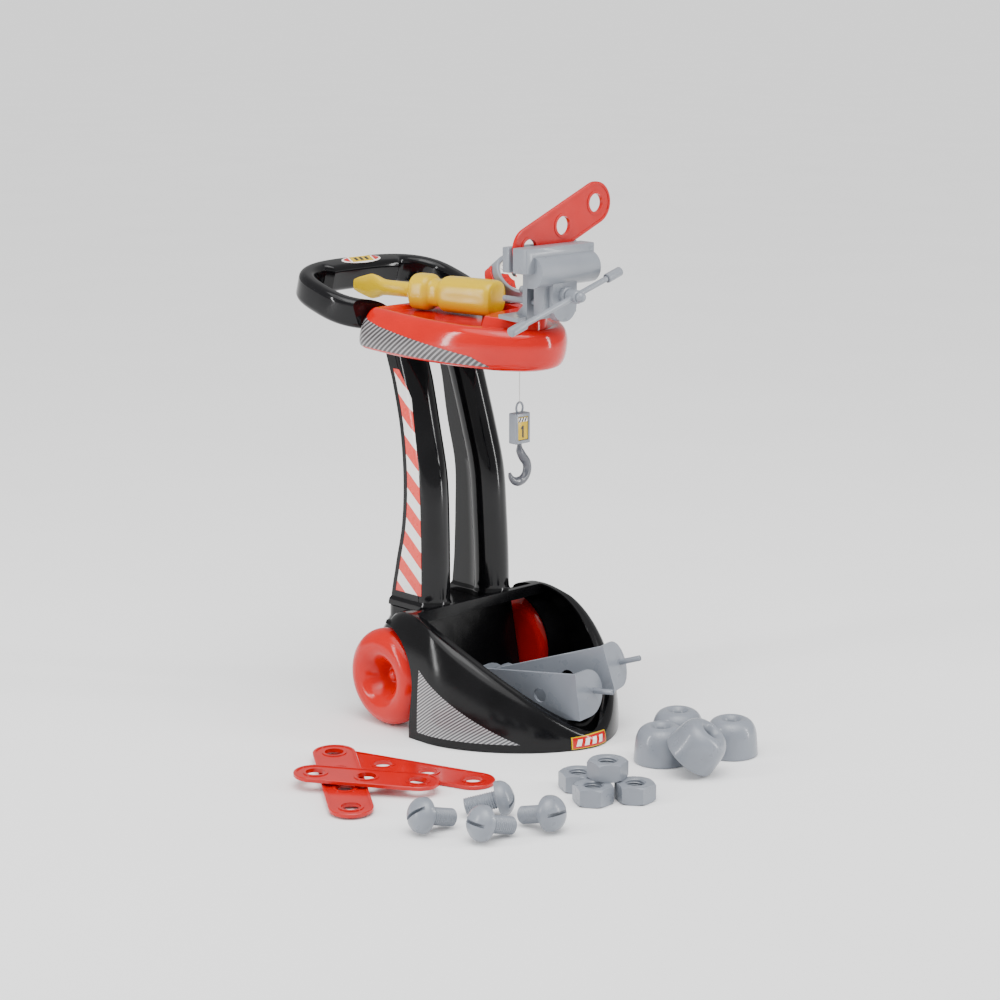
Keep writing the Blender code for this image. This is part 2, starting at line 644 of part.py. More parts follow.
def handle_ring():
    count = 40
    up = Vector((0, -RING_SLOPE, 1)).normalized()
    rings = []
    for i in range(count):
        t = (i + 0.5) / count
        here = ring_point(t)
        along = (ring_point(t + 0.002) - ring_point(t - 0.002)).normalized()
        out = along.cross(up).normalized()
        wide = 0.0
        if here.y > RING_Y and abs(here.x) < GRIP_HALF_W + 0.016:
            reach = min(1.0, (GRIP_HALF_W + 0.016 - abs(here.x)) / 0.016)
            wide = GRIP_EXTRA * reach * reach * (3 - 2 * reach)
        half_t, half_h, corner = RING_THICK / 2, RING_TALL / 2, 0.0065
        section = []
        for cx, cy, start in ((half_t - corner, half_h - corner, 90),
                              (half_t - corner, -half_h + corner, 0),
                              (-half_t + corner - wide, -half_h + corner, -90),
                              (-half_t + corner - wide, half_h - corner, -180)):
            section += arc(cx, cy, corner, start, start - 90, 2)
        rings.append([here + out * a + up * b for a, b in section])
    ring = object_from("handle_ring", mesh_from("handle_ring", loft(rings, caps=False)), BLACK,
                       roughness=0.2)
    block = tray_blank("ring_socket_cut", GAP * 2, collection=CUTTERS)
    front = box("ring_front_cut", (-0.12, 0.0, 0.34), (0.12, 0.0560, 0.50), collection=CUTTERS)
    boolean(boolean(ring, block), front)

    badge = []
    centre = Vector((0, RING_Y + RING_LEN - 0.006, 0))
    centre.z = RING_Z + RING_SLOPE * (centre.y - RING_HEIGHT_Y)
    lift = RING_TALL / 2 + GAP
    across, back = Vector((1, 0, 0)), Vector((0, 1, RING_SLOPE)).normalized()
    for level in (lift, lift + 0.0008):
        badge.append([centre + up * level + across * x + back * y
                      for x, y in [(0.026 * math.cos(a), 0.0085 * math.sin(a))
                                   for a in [2 * math.pi * k / 28 for k in range(28)]]])
    object_from("handle_badge", mesh_from("handle_badge", loft(badge)), YELLOW)


# ---------------------------------------------------------------- vice
def vice():
    seat_z = tray_height(-0.118, TRAY_PLATFORM) + 0.0004
    fixed = box("vice_fixed_jaw", (-JAW_HALF_W, FIXED_JAW_FRONT, JAW_LOW_Z),
                (JAW_HALF_W, FIXED_JAW_REAR, JAW_TOP_Z), GREY, bevel=0.0012)
    wall = box("fixed_wall", (-VICE_NECK_HALF_W, FIXED_JAW_FRONT, seat_z),
               (VICE_NECK_HALF_W, FIXED_JAW_FRONT + 0.006, JAW_LOW_Z + 0.006), collection=CUTTERS)
    boolean(fixed, wall, "UNION")
    foot = box("fixed_foot", (-0.036, FIXED_JAW_FRONT + 0.001, seat_z),
               (0.036, FIXED_JAW_FRONT + 0.026, seat_z + 0.0040), collection=CUTTERS)
    foot.matrix_world = (Matrix.Translation((0, FIXED_JAW_FRONT, seat_z))
                         @ Matrix.Rotation(TRAY_TILT, 4, "X")
                         @ Matrix.Translation((0, -FIXED_JAW_FRONT, -seat_z)))
    boolean(fixed, foot, "UNION")
    for side in (-1, 1):
        gusset = [(FIXED_JAW_FRONT + 0.004, seat_z + 0.002), (FIXED_JAW_FRONT + 0.022, seat_z + 0.004),
                  (FIXED_JAW_FRONT + 0.004, seat_z + 0.020)]
        boolean(fixed, prism("gusset_%d" % side, gusset, side * 0.016 - 0.0012,
                             side * 0.016 + 0.0012, collection=CUTTERS), "UNION")
    boolean(fixed, rod("fixed_screw_hole", (0, -0.10, SCREW_Z), (0, -0.14, SCREW_Z), 0.0048,
                       collection=CUTTERS))
    for side in (-1, 1):
        boolean(fixed, rod("fixed_guide_hole_%d" % side, (side * 0.0145, -0.10, SCREW_Z - 0.008),
                           (side * 0.0145, -0.14, SCREW_Z - 0.008), 0.0034, collection=CUTTERS,
                           sides=16))

    sliding = box("vice_sliding_jaw", (-JAW_HALF_W, SLIDE_JAW_FRONT, JAW_LOW_Z),
                  (JAW_HALF_W, SLIDE_JAW_REAR, JAW_TOP_Z), GREY, bevel=0.0012)
    body_y, body_z, body_r = SLIDE_JAW_FRONT + 0.004, 0.4700, 0.0155
    body = [(body_y + 0.006, body_z + body_r), *arc(body_y, body_z, body_r, 90, 270, 12),
            (body_y + 0.006, body_z - body_r)]
    boolean(sliding, prism("jaw_body", body, -0.036, 0.0445, collection=CUTTERS),
            "UNION")
    boolean(sliding, box("jaw_neck", (-VICE_NECK_HALF_W, SLIDE_JAW_FRONT, 0.4270),
                         (VICE_NECK_HALF_W, SLIDE_JAW_REAR - 0.004, JAW_LOW_Z + 0.002),
                         collection=CUTTERS, bevel=0.0010), "UNION")
    boss = arc(0, 0.4365, 0.0165, 180, 360, 14) + [(0.0165, 0.4600), (-0.0165, 0.4600)]
    boolean(sliding, prism("jaw_boss", boss, SLIDE_JAW_FRONT - 0.0060, SLIDE_JAW_FRONT + 0.004,
                           axis="y", collection=CUTTERS), "UNION")
    boolean(sliding, rod("jaw_collar", (0, SLIDE_JAW_FRONT - 0.0115, SCREW_Z),
                         (0, SLIDE_JAW_FRONT, SCREW_Z), 0.0085, collection=CUTTERS,
                         bevel=0.0008), "UNION")
    for side in (-1, 1):
        boolean(sliding, rod("jaw_guide_%d" % side, (side * 0.0145, SLIDE_JAW_FRONT + 0.004, SCREW_Z - 0.008),
                             (side * 0.0145, -0.088, SCREW_Z - 0.008), 0.0030, collection=CUTTERS,
                             sides=16), "UNION")
    boolean(sliding, rod("jaw_screw_hole", (0, -0.10, SCREW_Z), (0, -0.18, SCREW_Z), 0.0043,
                         collection=CUTTERS))

    screw = rod("vice_screw", (0, -0.096, SCREW_Z), (0, -0.1640, SCREW_Z), 0.0040, GREY)
    boolean(screw, rod("screw_head", (0, -0.1640 + 0.0008, SCREW_Z), (0, -0.1760, SCREW_Z), 0.0066,
                       collection=CUTTERS, bevel=0.0008), "UNION")
    ball = bmesh.new()
    bmesh.ops.create_uvsphere(ball, u_segments=12, v_segments=6, radius=0.0052)
    knob = object_from("screw_ball", mesh_from("screw_ball", ball), collection=CUTTERS)
    knob.matrix_world = Matrix.Translation((0, -0.1782, SCREW_Z))
    boolean(screw, knob, "UNION")
    hang_on(screw, (0, BAR_Y, SCREW_Z))
    along = Vector((math.cos(BAR_TILT), 0, math.sin(BAR_TILT)))
    middle = Vector((0, BAR_Y, SCREW_Z))
    boolean(screw, rod("screw_bar_hole", middle - along * 0.02, middle + along * 0.02,
                       BAR_R + GAP, collection=CUTTERS, sides=20))

    centre = middle + along * BAR_SHIFT
    reach = BAR_LEN / 2 - BAR_CAP_LEN
    stub = 0.006
    bar = rod("vice_bar", centre - along * (reach + stub), centre + along * (reach + stub), BAR_R,
              GREY, sides=20)
    for sign, tag in ((-1, "lower"), (1, "upper")):
        start = centre + along * sign * reach
        end = centre + along * sign * (BAR_LEN / 2)
        cap = rod("bar_cap_" + tag, start, end, BAR_CAP_R, GREY, sides=14, bevel=0.0010)
        boolean(cap, rod("cap_socket_" + tag, start - along * sign * 0.002,
                         start + along * sign * (stub + GAP), BAR_R + GAP, collection=CUTTERS,
                         sides=20))


# ---------------------------------------------------------------- strips
def strip_mesh(name, holes, thickness=STRIP_T):
    """Flat strip with round ends and a row of holes, centred, along its own X."""
    half = (holes - 1) * STRIP_PITCH / 2
    end_r = STRIP_W / 2
    curve = bpy.data.curves.new(name, "CURVE")
    curve.dimensions = "2D"
    curve.fill_mode = "BOTH"
    curve.extrude = thickness / 2
    outline = arc(half, 0, end_r, -90, 90, 12) + arc(-half, 0, end_r, 90, 270, 12)
    loops = [outline]
    for i in range(holes):
        loops.append(arc(-half + i * STRIP_PITCH, 0, STRIP_HOLE_R, 0, 340, 17))
    for points in loops:
        poly = curve.splines.new("POLY")
        poly.points.add(len(points) - 1)
        for point, (x, y) in zip(poly.points, points):
            point.co = (x, y, 0, 1)
        poly.use_cyclic_u = True
    return curve


def strip(name, holes, matrix, colour=RED):
    source = bpy.data.objects.new(name + "_outline", strip_mesh(name, holes))
    CUTTERS.objects.link(source)
    bpy.context.view_layer.update()
    mesh = bpy.data.meshes.new_from_object(source.evaluated_get(
        bpy.context.evaluated_depsgraph_get()))
    bpy.data.objects.remove(source, do_unlink=True)
    bm = bmesh.new()
    bm.from_mesh(mesh)
    bmesh.ops.remove_doubles(bm, verts=bm.verts, dist=0.00002)
    obj = object_from(name, mesh_from(name, bm), colour, roughness=0.2)
    obj.matrix_world = matrix
    return obj


def clamped_strip():
    """Strip held upright between the jaws, leaning up to the right."""
    y = (FIXED_JAW_FRONT + SLIDE_JAW_REAR) / 2
    lean = math.radians(22.7)
    middle = Vector((0.023, y, 0.5098))
    matrix = (Matrix.Translation(middle) @ Matrix.Rotation(-lean, 4, "Y")
              @ Matrix.Rotation(math.radians(90), 4, "X"))
    strip("clamped_strip", 3, matrix)


def flat_strip(name, holes, middle, heading, pitch=0.0):
    """Strip lying down; heading and pitch in degrees."""
    matrix = (Matrix.Translation(middle) @ Matrix.Rotation(math.radians(heading), 4, "Z")
              @ Matrix.Rotation(math.radians(-pitch), 4, "Y"))
    strip(name, holes, matrix)


def loose_strips():
    half = STRIP_T / 2
    flat_strip("strip_low", 4, (-0.1875, -0.1290, half), -71.5)
    flat_strip("strip_middle", 4, (-0.2590, -0.1200, 0.0040 + half), 55.7, 1.4)
    flat_strip("strip_top", 3, (-0.2480, -0.1420, 0.0090 + half), -54.5, -1.2)


# ---------------------------------------------------------------- screwdriver
def screwdriver():
    """Moulded toy screwdriver along its own X, blade first: half width, half height."""
    stations = ((0.000, 0.0022, 0.0055), (0.005, 0.0026, 0.0080), (0.021, 0.0030, 0.0130),
                (0.0285, 0.0048, 0.0115), (0.037, 0.0074, 0.0078), (0.072, 0.0078, 0.0078),
                (0.0745, 0.0150, 0.0150), (0.0775, 0.0184, 0.0184), (0.0930, 0.0184, 0.0184),
                (0.0960, 0.0165, 0.0165), (0.0985, 0.0140, 0.0140), (0.1070, 0.0138, 0.0138),
                (0.1110, 0.0165, 0.0165), (0.1140, 0.0182, 0.0182), (0.1660, 0.0184, 0.0184),
                (0.1705, 0.0172, 0.0172), (0.1723, 0.0140, 0.0140))
    rings = []
    for s, wide, tall in stations:
        ring = []
        for k in range(16):
            a = 2 * math.pi * k / 16
            c, n = math.cos(a), math.sin(a)
            ring.append((s, wide * math.copysign(abs(c) ** 0.8, c),
                         tall * math.copysign(abs(n) ** 0.8, n)))
        rings.append(ring)
    obj = object_from("screwdriver", mesh_from("screwdriver", loft(rings)), YELLOW)
    obj.matrix_world = (Matrix.Translation((-0.0408, 0.1076, 0.4355))
                        @ Matrix.Rotation(math.radians(-74.5), 4, "Z")
                        @ Matrix.Rotation(math.radians(1.0), 4, "Y"))


# ---------------------------------------------------------------- gauge
def gauge_matrix():
    return (Matrix.Translation(GAUGE_CENTRE) @ Matrix.Rotation(GAUGE_TILT, 4, "X"))


def gauge():
    """Short drum with a thick rim; its own Z is the dial's axis."""
    r, depth = GAUGE_R, GAUGE_DEPTH
    drum = [(0.0, -0.0035), (r - 0.0045, -0.0035), (r - 0.0040, -0.0008), (r - 0.0030, 0.0),
            (r - 0.0010, 0.0), (r, -0.0010), (r, -depth + 0.002), (r - 0.002, -depth),
            (0.0, -depth)]
    body = turned("gauge_drum", drum, 28, gauge_matrix(), GREY)
    seat = tray_height(GAUGE_CENTRE[1], TRAY_PLATFORM) + GAP
    x, y, z = GAUGE_CENTRE
    boolean(body, box("gauge_neck", (x - 0.011, y - 0.004, seat + 0.0003),
                      (x + 0.011, y + 0.008, z - 0.016), collection=CUTTERS), "UNION")
    dial = [(0.0, -0.0024), (r - 0.0050, -0.0024), (r - 0.0050, -0.0032), (0.0, -0.0032)]
    turned("gauge_dial", dial, 28, gauge_matrix(), CREAM)


def gauge_cradle():
    """Curved red fin that hugs the back of the gauge drum."""
    outer, inner = GAUGE_R + 0.0022, GAUGE_R + GAP
    outline = arc(0, 0, outer, 140, 190, 7) + arc(0, 0, inner, 190, 140, 7)
    rings = [[(x, y, z) for x, y in outline] for z in (-0.0190, -0.0080)]
    fin = object_from("gauge_cradle", mesh_from("gauge_cradle", loft(rings)), RED)
    fin.matrix_world = gauge_matrix()


# ---------------------------------------------------------------- crane hook
def poly_tube(name, points, radius, resolution=2):
    """A tube through points as a mesh, with filled ends."""
    curve = bpy.data.curves.new(name, "CURVE")
    curve.dimensions = "3D"
    curve.bevel_depth = radius
    curve.bevel_resolution = resolution
    curve.use_fill_caps = True
    poly = curve.splines.new("POLY")
    poly.points.add(len(points) - 1)
    for point, co in zip(poly.points, points):
        point.co = (*co, 1)
    return curve


def hook():
    top = HOOK_BLOCK_TOP
    string = bpy.data.objects.new("hook_string", poly_tube(
        "hook_string", [(0, HOOK_Y, HOOK_STRING_TOP - i * (HOOK_STRING_TOP - top - 0.0117) / 12)
                        for i in range(13)], HOOK_STRING_R))
    string.data.materials.append(own_material("hook_string", WHITE, 0.5))
    PARTS.objects.link(string)
    pivot = (0, HOOK_Y, HOOK_STRING_TOP)
    hang_on(string, pivot)

    low = top - HOOK_BLOCK_H
    block = box("hook_block", (-HOOK_BLOCK_W / 2, HOOK_Y - HOOK_BLOCK_T / 2, low),
                (HOOK_BLOCK_W / 2, HOOK_Y + HOOK_BLOCK_T / 2, top), GREY, bevel=0.0012)
    window = box("block_window", (-0.0072, HOOK_Y - HOOK_BLOCK_T, low + 0.0035),
                 (0.0072, HOOK_Y - HOOK_BLOCK_T / 2 + 0.0016, top - 0.0035), collection=CUTTERS)
    boolean(block, window)
    loops = 16
    rings = []
    for i in range(loops):
        a = 2 * math.pi * i / loops
        centre = Vector((0.0045 * math.cos(a), HOOK_Y, top + 0.0045 + 0.0058 * math.sin(a)))
        out = Vector((math.cos(a), 0, math.sin(a)))
        rings.append([centre + out * 0.0011 * math.cos(b) + Vector((0, 1, 0)) * 0.0011 * math.sin(b)
                      for b in [2 * math.pi * k / 6 for k in range(6)]])
    loop = object_from("block_eye", mesh_from("block_eye", loft(rings, caps=False)),
                       collection=CUTTERS)
    boolean(block, loop, "UNION")
    pin_hole = rod("block_pin_hole", (0, HOOK_Y, low - 0.002), (0, HOOK_Y, low + 0.009), 0.0029,
                   collection=CUTTERS, sides=16)
    boolean(block, pin_hole)
    hang_on(block, pivot)

    label = box("block_label", (-0.0068, HOOK_Y - HOOK_BLOCK_T / 2 + 0.0008, low + 0.0040),
                (0.0068, HOOK_Y - HOOK_BLOCK_T / 2 + 0.0016 - GAP, top - 0.0040), YELLOW)
    hang_on(label, pivot)

    # shank, belly and point of the hook, in the plane across the trolley
    route = [(0.0, low + 0.0075), (0.0, low - 0.002), (0.0006, low - 0.008), (0.0050, low - 0.0150)]
    belly = arc(-0.0015, low - 0.0265, 0.0125, 45, -170, 11)
    points = [(x, HOOK_Y, z) for x, z in route + belly]
    radii = [0.0026, 0.0026, 0.0042, 0.0048] + [0.0048] * 8 + [0.0042, 0.0034, 0.0026, 0.0016]
    rings = []
    for i, p in enumerate(points):
        before, after = Vector(points[max(i - 1, 0)]), Vector(points[min(i + 1, len(points) - 1)])
        along = (after - before).normalized()
        side = Vector((0, 1, 0))
        out = along.cross(side)
        wide = radii[i]
        rings.append([Vector(p) + out * wide * math.cos(b) + side * wide * 0.8 * math.sin(b)
                      for b in [2 * math.pi * k / 10 for k in range(10)]])
    hang_on(object_from("hook", mesh_from("hook", loft(rings)), GREY), (0, HOOK_Y, low))


# ---------------------------------------------------------------- axle beams in the bin
def beam_end_outline():
    """End plate of a beam: straight beside the flat face, then half round."""
    radius = BEAM_CHORD / 2
    return [(0.0, -radius), *arc(BEAM_DEPTH - radius, 0, radius, -90, 90, 14), (0.0, radius)]


def beam(name, end, along, upright):
    """Bracket with a flat face, two D-shaped end plates and a wheel peg on each of them.

    end is the middle of the flat face at its front end, along its length, upright its width.
    """
    along, upright = Vector(along).normalized(), Vector(upright)
    upright = (upright - along * upright.dot(along)).normalized()
    depth = upright.cross(along)
    frame = Matrix((along, depth, upright)).transposed().to_4x4()
    frame.translation = Vector(end)
    half = BEAM_CHORD / 2
    body = box(name, (-BEAM_LEN, 0.0, -half), (0.0, BEAM_T, half), GREY, bevel=0.0005)
    body.matrix_world = frame
    for tag, low, high in (("front", -0.036, -0.001), ("rear", -BEAM_LEN + 0.001,
                                                       -BEAM_LEN + 0.036)):
        rib = box("%s_rib_%s" % (name, tag), (low, BEAM_T - 0.001, -0.001),
                  (high, BEAM_T + 0.0030, 0.001), collection=CUTTERS)
        rib.matrix_world = frame
        boolean(body, rib, "UNION")
    for tag, x, out in (("front", 0.0, 1), ("rear", -BEAM_LEN, -1)):
        low, high = sorted((x, x - out * BEAM_T))
        plate = prism("%s_plate_%s" % (name, tag), beam_end_outline(), low, high,
                      collection=CUTTERS)
        peg = rod("%s_peg_%s" % (name, tag), (x - out * 0.001, BEAM_PEG_DEPTH, 0.0),
                  (x + out * 0.0230, BEAM_PEG_DEPTH, 0.0), 0.0030, collection=CUTTERS, sides=14,
                  bevel=0.0006)
        slot = box("%s_peg_slot_%s" % (name, tag),
                   (min(x + out * 0.008, x + out * 0.03), BEAM_PEG_DEPTH - 0.0007, -0.006),
                   (max(x + out * 0.008, x + out * 0.03), BEAM_PEG_DEPTH + 0.0007, 0.006),
                   collection=CUTTERS)
        for piece in (plate, peg, slot):
            piece.matrix_world = frame
        boolean(boolean(body, plate, "UNION"), peg, "UNION")
        boolean(body, slot)
        s = x - out * BEAM_HOLE_FROM_END
        hole = rod("%s_hole_%s" % (name, tag), (s, -0.01, 0), (s, 0.01, 0), 0.0074,
                   collection=CUTTERS)
        hole.matrix_world = frame
        boolean(body, hole)


def beams():
    beam("beam_front", (-0.0165, -0.1938, 0.0511), (0.137, -0.983, 0.122), (-0.0385, 0.1175, 0.992))
    beam("beam_rear", (0.0309, -0.1910, 0.0710), (0.336, -0.891, 0.305), (-0.082, 0.296, 0.952))


# ---------------------------------------------------------------- loose nuts, bolts, wheels
def nut(name, centre, heading):
    hexagon = [(NUT_FLATS / math.sqrt(3) * math.cos(math.radians(60 * k)),
                NUT_FLATS / math.sqrt(3) * math.sin(math.radians(60 * k))) for k in range(6)]
    half = NUT_H / 2
    body = prism(name, hexagon, -half, half, axis="z", colour=GREY, bevel=0.0008)
    hole = rod(name + "_bore", (0, 0, -NUT_H), (0, 0, NUT_H), NUT_HOLE_R, collection=CUTTERS,
               sides=18)
    frame = Matrix.Translation(centre) @ Matrix.Rotation(math.radians(heading), 4, "Z")
    body.matrix_world = frame
    hole.matrix_world = frame
    boolean(body, hole)


def nuts():
    half = NUT_H / 2
    nut("nut_front", (-0.1210, -0.3160, half), 5)
    nut("nut_right", (-0.0880, -0.3385, half), 5)
    nut("nut_back", (-0.1030, -0.2800, half), 5)
    nut("nut_top", (-0.0965, -0.3110, NUT_H + GAP + half), 20)


def bolt(name, disc, tip, slot_turn):
    """Slotted dome bolt; disc is the middle of the head's flat side, tip the shank's end."""
    disc, tip = Vector(disc), Vector(tip)
    along = (tip - disc).normalized()
    dome = [(BOLT_HEAD_R * math.sin(math.radians(a)), -0.0030 - 0.0125 * math.cos(math.radians(a)))
            for a in range(0, 91, 18)]
    profile = dome + [(BOLT_HEAD_R, 0.0), (BOLT_SHANK_R, 0.0),
                      (BOLT_SHANK_R, BOLT_SHANK_LEN - 0.001),
                      (BOLT_SHANK_R - 0.001, BOLT_SHANK_LEN), (0.0, BOLT_SHANK_LEN)]
    frame = Matrix.Translation(disc) @ Vector((0, 0, 1)).rotation_difference(
        along).to_matrix().to_4x4()
    body = turned(name, profile[::-1], 18, frame, GREY)
    slot = box(name + "_slot", (-0.02, -0.0016, -0.0200), (0.02, 0.0016, -0.0095),
               collection=CUTTERS)
    slot.matrix_world = frame @ Matrix.Rotation(math.radians(slot_turn), 4, "Z")
    boolean(body, slot)


def bolts():
    lean = 0.0083
    bolt("bolt_left", (-0.2890, -0.2690, BOLT_HEAD_R + GAP), (-0.2580, -0.2735, lean), 40)
    bolt("bolt_back", (-0.2120, -0.2830, BOLT_HEAD_R + GAP), (-0.2340, -0.2600, lean), 20)
    bolt("bolt_front", (-0.2650, -0.3210, BOLT_HEAD_R + GAP), (-0.2340, -0.3260, lean), 80)
    bolt("bolt_right", (-0.2060, -0.3420, BOLT_HEAD_R + GAP), (-0.2100, -0.3110, lean), 10)


def small_wheel(name, centre, tilt_axis=(1, 0, 0), tilt=0.0):
    """Small toy wheel lying on its flat side: big round shoulder, sunk hub hole on top."""
    r, h = SMALL_WHEEL_R, SMALL_WHEEL_H
    profile = [(0.0060, h - 0.0140), (0.0066, h - 0.0060), (0.0092, h - 0.0016), (0.0118, h),
               (0.0150, h - 0.0003), (0.0196, h - 0.0030), (0.0232, h - 0.0085),
               (0.0252, h - 0.0170), (r, 0.0015), (r - 0.0008, 0.0), (0.0045, 0.0),
               (0.0045, h - 0.0140)]
    matrix = Matrix.Translation(centre) @ Matrix.Rotation(math.radians(tilt), 4,
                                                          Vector(tilt_axis))
    turned(name, profile, 20, matrix, GREY)


def small_wheels():
    small_wheel("small_wheel_left", (0.0132, -0.2785, 0.0))
    small_wheel("small_wheel_back", (0.0630, -0.2560, 0.0))
    small_wheel("small_wheel_right", (0.0800, -0.3110, 0.0))
    small_wheel("small_wheel_leaning", (0.0050, -0.3222, 0.0166), (0.899, 0.438, 0), 38)


# ---------------------------------------------------------------- label plate
def nose_skin(x, z):
    """Distance along -Y of the base's outer skin at a place near the nose."""
    plan = []
    for i in range(31):
        t = 0.55 + 0.45 * i / 30
        foot = superellipse_xy(t, BASE_HALF_W, BASE_NOSE_START, BASE_NOSE_LEN, BASE_NOSE_POWER)
        rim = superellipse_xy(t, RIM_HALF_W, RIM_NOSE_START, RIM_NOSE_LEN, RIM_NOSE_POWER)
        rise = min(z / rim_height(rim[1]), 1.0) ** (WALL_ROLL / 2)
        inward = 1 - math.cos(math.asin(rise)) ** (2 / WALL_ROLL)
        plan.append((foot[0] + (rim[0] - foot[0]) * inward, foot[1] + (rim[1] - foot[1]) * inward))
    for (ax, ay), (bx, by) in zip(plan[:-1], plan[1:]):
        if bx <= abs(x) <= ax:
            return ay + (by - ay) * (ax - abs(x)) / (ax - bx)
    return plan[-1][1]


def label_plate():
    """Small plate that follows the nose of the base, low on its front."""
    across = [-0.0285 + 0.043 * i / 8 for i in range(9)]
    rings = []
    for z in (0.0015, 0.0055, 0.0090, 0.0120, 0.0135):
        skin = [nose_skin(x, z) for x in across]
        ring = [(x, y - 0.0013, z) for x, y in zip(across, skin)]
        ring += [(x, y - 0.0005, z) for x, y in zip(across[::-1], skin[::-1])]
        rings.append(ring)
    object_from("label_plate", mesh_from("label_plate", loft(rings)), RED)


base_bin()
wheels()
for SIDE, TAG in ((-1, "left"), (1, "right")):
    column(SIDE, TAG)
screws()
tray()
handle_ring()
vice()
clamped_strip()
loose_strips()
screwdriver()
gauge()
gauge_cradle()
hook()
beams()
label_plate()
nuts()
bolts()
small_wheels()
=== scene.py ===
"""Looks of the toy mechanic's trolley: fine shells, printed panels, threads and materials.

Metres, +Z up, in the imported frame. The nose of the trolley points to -Y.
"""
import json
from math import asin, atan, copysign, cos, degrees, pi, radians, sin, sqrt, tan

import bmesh
import bpy
from mathutils import Matrix, Vector


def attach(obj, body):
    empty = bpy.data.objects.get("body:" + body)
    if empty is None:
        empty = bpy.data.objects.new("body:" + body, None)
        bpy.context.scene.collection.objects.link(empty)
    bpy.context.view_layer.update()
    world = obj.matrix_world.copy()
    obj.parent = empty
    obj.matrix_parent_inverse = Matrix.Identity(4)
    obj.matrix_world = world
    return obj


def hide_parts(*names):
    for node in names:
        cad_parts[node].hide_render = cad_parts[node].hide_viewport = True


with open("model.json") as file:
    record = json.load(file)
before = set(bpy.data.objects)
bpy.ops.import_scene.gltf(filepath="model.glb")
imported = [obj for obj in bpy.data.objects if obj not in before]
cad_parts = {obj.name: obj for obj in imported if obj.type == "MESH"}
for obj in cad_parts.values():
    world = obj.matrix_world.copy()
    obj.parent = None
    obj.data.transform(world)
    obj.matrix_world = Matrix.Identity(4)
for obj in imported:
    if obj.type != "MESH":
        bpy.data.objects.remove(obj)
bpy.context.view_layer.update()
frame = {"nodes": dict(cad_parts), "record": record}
BODY_OF = {node: body for body, nodes in frame["record"]["behaviour"]["bodies"].items()
           for node in nodes}
SKIN = 0.0002                # how far a printed panel stands off the plastic under it
SIDES = (("left", -1), ("right", 1))


# ---------------------------------------------------------------- materials
class Nodes:
    """Short names for building a node tree."""

    def __init__(self, name):
        self.mat = bpy.data.materials.new(name)
        self.mat.use_nodes = True
        self.tree = self.mat.node_tree
        self.shader = self.tree.nodes["Principled BSDF"]
        self.coord = self.add("TexCoord").outputs["Object"]

    def feed(self, socket, value):
        """Link an output to a socket, or set the socket's number or colour."""
        if isinstance(value, bpy.types.NodeSocket):
            self.tree.links.new(value, socket)
        else:
            socket.default_value = (*value, 1.0) if isinstance(value, tuple) else value

    def add(self, kind, **inputs):
        node = self.tree.nodes.new("ShaderNode" + kind)
        for name, value in inputs.items():
            self.feed(node.inputs[name.replace("_", " ")], value)
        return node

    def math(self, operation, *values):
        node = self.add("Math")
        node.operation = operation
        for socket, value in zip(node.inputs, values):
            self.feed(socket, value)
        return node.outputs[0]

    def xyz(self):
        return self.add("SeparateXYZ", Vector=self.coord).outputs

    def noise(self, scale, detail=3.0):
        return self.add("TexNoise", Scale=scale, Detail=detail, Vector=self.coord).outputs["Fac"]

    def mix(self, factor, a, b):
        node = self.add("Mix")
        node.data_type = "RGBA"
        for index, value in ((0, factor), (6, a), (7, b)):
            self.feed(node.inputs[index], value)
        return node.outputs[2]

    def remap(self, value, low, high):
        """Spread the middle of a noise over a range."""
        return self.add("MapRange", Value=value, From_Min=0.3, From_Max=0.7, To_Min=low,
                        To_Max=high).outputs["Result"]

    def bump(self, height, strength, distance):
        node = self.add("Bump", Strength=strength, Distance=distance, Height=height)
        self.feed(self.shader.inputs["Normal"], node.outputs["Normal"])

    def surface(self, colour, roughness, coat=0.0, metallic=0.0, ior=1.46):
        for name, value in (("Base Color", colour), ("Roughness", roughness),
                            ("Coat Weight", coat), ("Coat Roughness", 0.06),
                            ("Metallic", metallic), ("IOR", ior)):
            self.feed(self.shader.inputs[name], value)
        return self.mat


def plastic(name, colour, roughness, coat=0.0, mottle=0.05, ripple=0.02, ior=1.46):
    """Moulded plastic: faint flow marks in the colour, uneven gloss and an orange-peel skin."""
    n = Nodes(name)
    light = tuple(min(c * (1 + mottle) + mottle * 0.01, 1.0) for c in colour)
    dark = tuple(c * (1 - mottle) for c in colour)
    tint = n.mix(n.remap(n.noise(26.0, 4.0), 0.0, 1.0), dark, light)
    gloss = n.remap(n.noise(60.0), roughness * 0.85, roughness * 1.2)
    skin = n.math("ADD", n.math("MULTIPLY", n.noise(900.0, 2.0), 0.12), n.noise(45.0, 2.0))
    n.bump(skin, 0.35, ripple * 0.01)
    return n.surface(tint, gloss, coat, 0.0, ior)


def square_wave(n, phase, share=0.5, soft=0.06):
    """1 for a share of each turn of the phase, with soft edges."""
    saw = n.math("FRACT", phase)
    rise = n.math("DIVIDE", saw, soft)
    fall = n.math("DIVIDE", n.math("SUBTRACT", share, saw), soft)
    return n.math("MINIMUM", n.math("MAXIMUM", n.math("MINIMUM", rise, fall), 0.0), 1.0)


def woven_print(name, pitch, slope, light, dark):
    """Printed carbon look: slanting bands, each made of short alternate floats."""
    n = Nodes(name)
    _, y, z = n.xyz()
    run = n.math("ADD", n.math("MULTIPLY", y, slope), z)
    bands = square_wave(n, n.math("DIVIDE", run, pitch), 0.52, 0.12)
    cross = n.math("DIVIDE", n.math("SUBTRACT", z, y), pitch * 0.5)
    floats = n.math("MULTIPLY", square_wave(n, cross, 0.55, 0.20), 0.35)
    n.bump(bands, 0.25, 0.0002)
    return n.surface(n.mix(bands, dark, n.mix(floats, light, tuple(c * 0.55 for c in light))),
                     0.22, 0.4)


